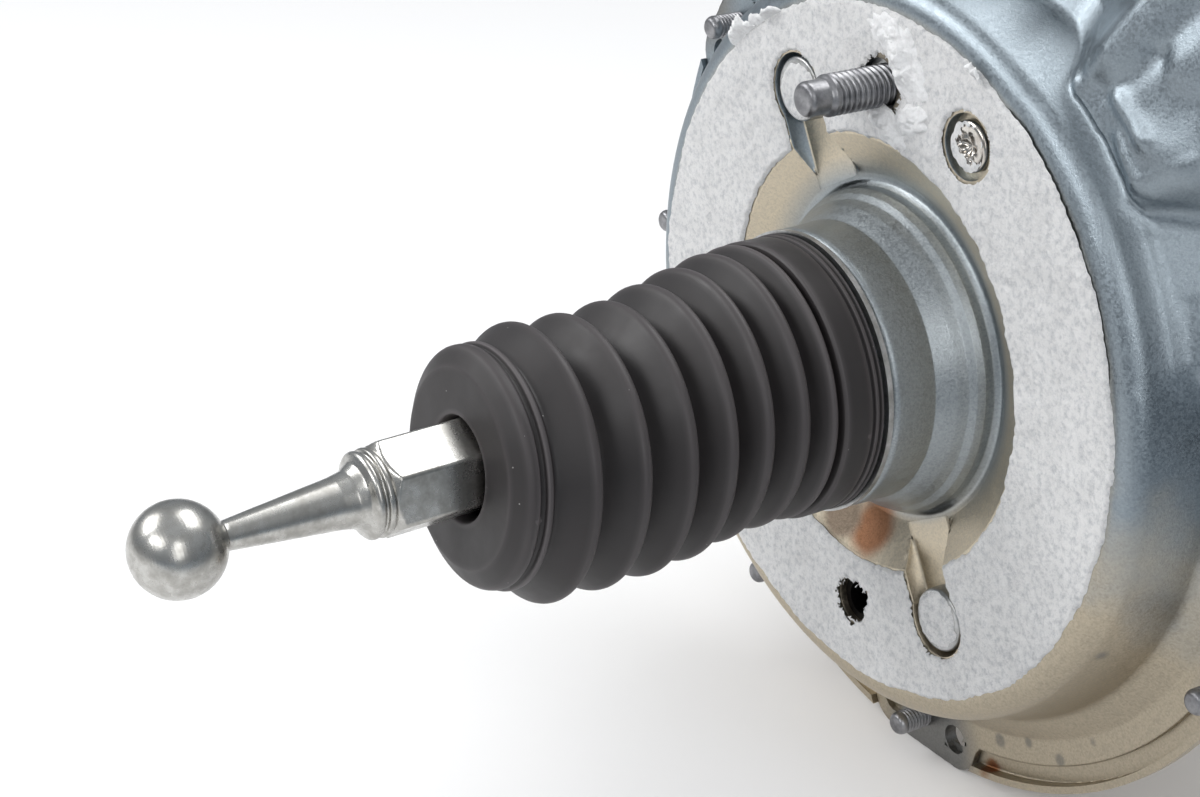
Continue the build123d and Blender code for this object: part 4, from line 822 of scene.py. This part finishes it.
# A torn flap at the gasket's outer edge: a strip that curls up and outwards as a sine and narrows to its
# ends as a half ellipse, with noise on its width and height.
def flap(turn, radius, length, width, lift, seed):
    u = np.linspace(-1, 1, 46)[None]
    v = np.linspace(0, 1, 18)[:, None]
    ends = np.sqrt(1 - u ** 2 * 0.98)
    reach = width * ends * (1 + 0.35 * valueNoise(u * length + 0 * v, 0 * u + 0 * v, 1.4, seed))
    r = radius + reach * v
    a = np.radians(turn) + u * length / 2 / radius
    rise = lift * np.sin(v * 2.2) * ends + 0.25 * valueNoise(u * length, v * width, 1.1, seed + 1)
    return gridPart(points(r * np.cos(a), 0.1 - np.maximum(rise, 0), r * np.sin(a)), False)


parts = [fluff(*tuft) for tuft in loose["fluffs"]] + [flap(*strip) for strip in loose["flaps"]]
addMesh("fleece_fluff", *joinParts(parts), "housing", "fleece", (0, -1, 0), material=looseFibre)


print("studs and screws")


# Radius of a threaded bar over its length and angle: a V groove whose phase turns once a pitch, faded out at
# the base and before the tip, and a rounded or dog-point tip.
def threaded(bar):
    length, radius, pitch, tip = bar["length"], bar["radius"], bar["pitch"], bar["rounding"]
    s = np.linspace(0, length, int(length / bar["step"]))[:, None]
    a = circle(bar["columns"])[None]
    phase = (s / pitch - a / (2 * math.pi)) % 1.0
    groove = np.clip((0.5 - np.abs(phase - 0.5)) * 2.0 / 0.86, 0, 1)
    end = length - bar["tipLength"]
    fade = smooth01((end - s) / pitch * 1.2) * smooth01(s / 0.4 + 0.3)
    body = radius - bar["depth"] * (1 - smooth01(groove)) * fade
    point = radius + (bar["tipRadius"] - radius) * smooth01((s - end) / 1.2)
    body = np.where(s > end, np.minimum(body, point), body)
    left = np.clip(length - s, 0, tip)
    dome = bar["tipRadius"] - tip + np.sqrt(np.maximum(tip ** 2 - (tip - left) ** 2, 0))
    return s, a, np.minimum(body, dome + (body - bar["tipRadius"]).clip(0))


# Places a bar's (length, angle, radius) grid at (cx, cz) from station base along Y.
def barAt(cx, cz, base, direction, s, a, r, cap=True):
    grid = turned(r, base + direction * s, a, cx, cz)
    if cap:
        tip = grid[-1:].copy()
        tip[0, :, 0], tip[0, :, 2] = cx, cz
        grid = np.vstack([grid, tip])
    return gridPart(grid)


# Turned shape at (cx, cz): path is (radius, distance from base).
def lathe(cx, cz, base, direction, path, columns=48):
    return barAt(cx, cz, base, direction, path[:, 1:2], circle(columns)[None], path[:, 0:1], False)


# Directions that point out of a bar standing at (cx, cz), and along Y by lean at stations below top.
def outOf(verts, cx, cz, lean=0.0, top=0.0):
    out = np.array(verts, float) - np.array([cx, 0, cz])
    out[:, 1] = np.where(verts[:, 1] < top, lean, 0.0)
    return out


eightThread = {"radius": 4.0, "pitch": 1.25, "depth": 0.66, "columns": 48, "step": 0.12}
mountStud = {
    **eightThread, "base": 4.8, "length": 21.8, "rounding": 1.3, "tipRadius": 3.35, "tipLength": 5.6,
    "head": filletPath([(0.01, 2.6), (8.0, 2.6), (8.0, 0.0), (4.0, 0.0)], [0.5, 0.2], 0.2),
}
verts, quads = joinParts([
    barAt(*shell["stud"], mountStud["base"], -1, *threaded(mountStud)),
    lathe(*shell["stud"], mountStud["base"], 1, mountStud["head"])])
addMesh(
    "mounting_stud_threaded", verts, quads, "housing", "plated_steel", outOf(verts, *shell["stud"]),
    replaced=["mounting_stud"], material=studSteel)

# Tie rods: head in its pocket, collar behind the rear wall and an M8 thread beyond the front wall.
rodNode = frame["nodes"]["tie_rods"]
rodReach = max((rodNode.matrix_world @ Vector(c)).y for c in rodNode.bound_box) / mm
tieRod = {
    **eightThread, "base": 98.0, "length": rodReach - 98.0, "rounding": 0.8, "tipRadius": 3.9,
    "tipLength": 1.0,
    "head": filletPath(
        [(0.01, 1.0), (6.4, 1.0), (6.4, 4.75), (4.0, 4.75), (4.0, 6.35), (7.0, 6.35), (7.0, 10.35),
         (4.0, 10.35), (4.0, 98.0)],
        [0.7, 0.1, 0.1, 0.1, 0.3, 0.3, 0.2], 0.3),
}
parts, outward = [], []
for place in [polar(shell["rodCircle"], angle) for angle in shell["rodAngles"]]:
    for part in (
            lathe(*place, 0.0, 1, tieRod["head"], 64), barAt(*place, tieRod["base"], 1, *threaded(tieRod))):
        parts.append(part)
        outward.append(outOf(part[0], *place, -20.0, 1.3))
addMesh(
    "tie_rods_threaded", *joinParts(parts), "housing", "plated_steel", np.vstack(outward),
    replaced=["tie_rods"])

# Recess screw: rings of (radius, station) for a low head with a rounded rim, and a socket with six lobes,
# whose radius is a mean plus a cosine of six times the angle.
recessScrew = {
    "mean": 2.25, "lobe": 0.4, "columns": 96,
    "head": [(2.5, 7.9), (2.5, 2.85), (4.8, 2.85), (4.8, 1.5), (4.6, 1.1), (4.2, 0.92), (3.6, 0.86)],
}
a = circle(recessScrew["columns"])
lobe = recessScrew["mean"] + recessScrew["lobe"] * np.cos(6 * a)
rings = recessScrew["head"] + [(lobe + 0.12, 0.86), (lobe, 0.98), (lobe * 0.98, 2.1), (0.01, 2.3)]
verts, quads = gridPart(np.stack([turned(r, y, a, *shell["recess"]) for r, y in rings]))
addMesh(
    "recess_screw_lobed", verts, quads, "housing", "plated_steel", outOf(verts, *shell["recess"], -9.0, 2.4),
    replaced=["recess_screw"], material=screwSteel)

# Rim screws: one in each lobe and one on each ear.
rimScrew = {
    "base": 24.0, "earCircle": 87.3, "length": 11.0, "radius": 2.5, "pitch": 0.8, "depth": 0.42,
    "rounding": 1.1, "tipRadius": 2.35, "tipLength": 1.6, "columns": 32, "step": 0.1,
    "head": filletPath([(0.01, 3.4), (4.4, 3.4), (4.4, 0.0), (2.5, 0.0)], [0.8, 0.2], 0.2)[::-1],
}
places = [polar(shell["lobeCircle"], angle) for angle in shell["lobes"]]
places += [polar(rimScrew["earCircle"], angle) for angle in shell["ears"]]
parts, outward = [], []
for place in places:
    for part in (
            barAt(*place, rimScrew["base"], -1, *threaded(rimScrew)),
            lathe(*place, rimScrew["base"], 1, rimScrew["head"], 32)):
        parts.append(part)
        outward.append(outOf(part[0], *place))
addMesh(
    "rim_screws_threaded", *joinParts(parts), "housing", "plated_steel", np.vstack(outward),
    replaced=["rim_screws"], material=studSteel)


print("dust boot")
bellows = {
    # station, how far the free bellows hangs below the axis, how far its folds lean back
    "hang": np.array([
        (-92.0, -1.8, 0.085), (-89.5, -2.0, 0.085), (-80.0, -3.7, 0.09), (-76.0, -4.2, 0.095),
        (-65.8, -4.5, 0.085), (-56.1, -4.2, 0.08), (-47.8, -2.9, 0.07), (-40.1, -1.2, 0.055),
        (-32.5, -0.1, 0.035), (-26.4, 0.2, 0.01), (-24.0, 0.0, 0.0), (-14.0, 0.0, 0.0)]),
    # each crest's radius and station, then the radius of the valley in front and its distance from the crest
    "folds": [
        (25.6, -76.0, 19.2, 2.8), (25.7, -65.8, 19.1, 2.7), (26.0, -56.1, 19.3, 2.5),
        (26.7, -47.8, 19.5, 2.4), (26.9, -40.1, 20.0, 2.3), (27.2, -32.5, 21.0, 2.1),
        (27.1, -26.4, 22.4, 1.5)],
    # radius, station and rounding of the nose's corners, then of the ring's on the neck
    "nose": [
        (9.4, -89.0, 0), (9.8, -89.9, 0.4), (18.2, -89.9, 1.0), (21.9, -87.6, 2.8), (22.1, -85.9, 0.5),
        (21.3, -85.4, 0.3), (21.4, -84.6, 0.3), (22.4, -84.4, 0.4), (22.4, -83.5, 0.4), (20.9, -82.6, 0.8)],
    "ring": [
        (26.3, -24.4, 0.3), (26.8, -23.9, 0.5), (26.7, -18.4, 0.1), (26.1, -18.1, 0.08), (26.1, -17.7, 0.08),
        (26.75, -17.5, 0.08), (26.75, -16.9, 0.08), (26.3, -16.7, 0.05), (26.3, -16.4, 0.05),
        (26.9, -16.2, 0.05), (26.9, -15.95, 0)],
    "columns": 256,
}
# The section through the nose, the folds and the ring is turned about the axis, slightly out of round by a
# noise field. It then leans back by its height and hangs below the axis, by the table's amounts.
path = list(bellows["nose"])
for crest, station, valley, behind in bellows["folds"]:
    path.append((crest + 0.75, station + 0.35, 1.35 if station < -27 else 0.9))
    path.append((valley, station + behind, 0.8))
path = np.array(path + bellows["ring"])
bootPath = filletPath(path[:, :2], path[1:-1, 2], 0.4)
angles = circle(bellows["columns"])
grid = turned(bootPath[:, :1], bootPath[:, 1:], angles)
cosines, sines = np.cos(angles)[None], np.sin(angles)[None]
wave = 0.10 * valueNoise(cosines * 25 + grid[..., 1] * 0.3, sines * 25, 16.0, 31)
grid[..., 0] += wave * cosines
grid[..., 2] += wave * sines
station = grid[..., 1].copy()
grid[..., 1] += grid[..., 2] * np.interp(station, bellows["hang"][:, 0], bellows["hang"][:, 2])
grid[..., 2] += np.interp(station, bellows["hang"][:, 0], bellows["hang"][:, 1])
inner = grid[:1] + np.array([0, 3.0, 0])
verts, quads = gridPart(np.vstack([inner, grid]))
boot = addMesh(
    "dust_boot_skin", verts, quads, "housing", "boot_rubber", outOf(verts, 0, 0), replaced=["dust_boot"])
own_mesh(boot)


print("ball end")
pushRod = {
    "start": np.array([0.0, -90.0, -1.75]), "centre": np.array([1.5, -143.6, -2.7]),
    "ball": 8.5, "crown": [(0.02, 8.5), (1.2, 8.42)],
    # radius and distance from the ball's centre: neck, taper, flare and the collar's two rings
    "tail": [
        (2.62, -8.3), (3.0, -12.0), (4.7, -29.3), (5.2, -31.8), (6.2, -33.4), (7.5, -34.0), (7.95, -34.4),
        (7.95, -35.2), (7.3, -35.4), (7.3, -35.9), (8.1, -36.1), (8.1, -37.0), (7.7, -37.5)],
    "hexHalf": 8.0, "hexTurn": 25,
    "hexPath": filletPath([(7.0, -37.3), (7.7, -37.4), (9.1, -38.6), (9.1, -58.0)], [0.2, 0.5], 0.25),
}
rodAxis = pushRod["centre"] - pushRod["start"]
rodAxis /= np.linalg.norm(rodAxis)
side = np.cross(rodAxis, [0, 0, 1.0])
side /= np.linalg.norm(side)
over = np.cross(side, rodAxis)


# A path of (radius, distance) turned about the rod's axis, where the radius may stop at a hexagon's flats.
def onRod(path, columns, hexTurn=None):
    a = circle(columns)
    r = path[:, 0:1] + 0 * a
    if hexTurn is not None:
        flat = pushRod["hexHalf"] / np.cos((a - math.radians(hexTurn)) % (math.pi / 3) - math.pi / 6)
        r = np.minimum(r, flat)
    centre = pushRod["centre"] + path[:, 1:2] * rodAxis
    grid = centre[:, None] + r[..., None] * (np.cos(a)[:, None] * side + np.sin(a)[:, None] * over)
    return gridPart(grid)


sweep = np.radians(np.arange(12, 162, 4.0))
ball = [(pushRod["ball"] * math.sin(a), pushRod["ball"] * math.cos(a)) for a in sweep]
ballPath = pushRod["crown"] + ball + pushRod["tail"]
ballPath = filletPath(ballPath, [0.6] * (len(ballPath) - 2), 0.3)
verts, quads = joinParts([onRod(ballPath, 96), onRod(pushRod["hexPath"], 240, pushRod["hexTurn"])])
fromCentre = verts - pushRod["centre"]
outward = fromCentre - (fromCentre @ rodAxis)[:, None] * rodAxis
addMesh("ball_end_turned", verts, quads, "push_rod", "polished_steel", outward, replaced=["ball_end"])


print("stage")
stage = {
    "level": -0.0952, "half": 3.0, "paper": (0.80, 0.80, 0.80, 1),
    "glow": 0.12, "glowTint": (1.0, 0.94, 0.91, 1),
    # what reflections see beyond the paper's edge, which is at these distances to the right
    "edge": (0.14, 0.30), "room": (0.22, 0.25, 0.28, 1), "roomGlow": (0.20, 0.24, 0.28, 1),
    "horizon": (0.16, 0.18, 0.205, 1), "ceiling": (0.52, 0.54, 0.56, 1),
    # name, place, aim, width, height, watts
    "lamps": [
        ("key", (-0.75, -0.75, 0.80), (0, -0.02, 0), 0.7, 0.5, 8.1),
        ("front", (0.15, -1.0, 0.64), (0, 0, 0), 0.6, 0.22, 3.4),
        ("top", (-0.10, 0.38, 0.92), (0, 0, 0), 0.8, 0.5, 5.3),
        ("right", (0.95, -0.45, 0.45), (0.03, 0, 0), 0.30, 0.7, 2.5),
    ],
}


# White paper that keeps the object's shadow, slightly warm in it.
def paperFloor():
    material, tree, shader = newMaterial("paper_floor")
    beyond = mapRange(tree, axisOf(tree, objectPlace(tree), "X"), *stage["edge"])
    rays = addNode(tree, "ShaderNodeLightPath").outputs
    beyond = reckon(tree, "MULTIPLY", beyond, reckon(tree, "SUBTRACT", 1.0, rays["Is Camera Ray"]))
    feed(tree, shader.inputs["Base Color"], mixColour(tree, beyond, stage["paper"], stage["room"]))
    shader.inputs["Roughness"].default_value = 0.9
    shader.inputs["Specular IOR Level"].default_value = 0.1
    seen = reckon(tree, "MAXIMUM", rays["Is Camera Ray"], rays["Is Glossy Ray"])
    feed(tree, shader.inputs["Emission Color"], mixColour(tree, beyond, stage["glowTint"], stage["roomGlow"]))
    feed(tree, shader.inputs["Emission Strength"], reckon(tree, "MULTIPLY", seen, stage["glow"]))
    return material


mesh = bpy.data.meshes.new("floor")
half, level = stage["half"], stage["level"]
square = ((-half, -half), (half, -half), (half, half), (-half, half))
mesh.from_pydata([(x, y, level) for x, y in square], [], [(0, 1, 2, 3)])
mesh.materials.append(paperFloor())
floor = newObject("floor", mesh)

for name, place, aim, width, height, watts in stage["lamps"]:
    data = bpy.data.lights.new(name, "AREA")
    data.shape = "RECTANGLE"
    data.size, data.size_y = width, height
    data.energy = watts
    lamp = newObject(name, data)
    lamp.location = place
    lamp.rotation_euler = (Vector(aim) - Vector(place)).to_track_quat("-Z", "Y").to_euler()

# The room: darker at the horizon than overhead, and pale where the camera sees it.
world = bpy.data.worlds.new("studio")
scene.world = world
world.use_nodes = True
tree = world.node_tree
back = tree.nodes["Background"]
up = axisOf(tree, addNode(tree, "ShaderNodeTexCoord").outputs["Generated"], "Z")
sky = addNode(tree, "ShaderNodeValToRGB", {"Fac": mapRange(tree, up, -0.2, 1.0)})
sky.color_ramp.elements[0].color = stage["horizon"]
sky.color_ramp.elements[1].color = stage["ceiling"]
direct = addNode(tree, "ShaderNodeLightPath").outputs["Is Camera Ray"]
feed(tree, back.inputs["Color"], mixColour(tree, direct, sky.outputs["Color"], stage["paper"]))
back.inputs["Strength"].default_value = 1.0
scene.view_settings.view_transform = "Standard"
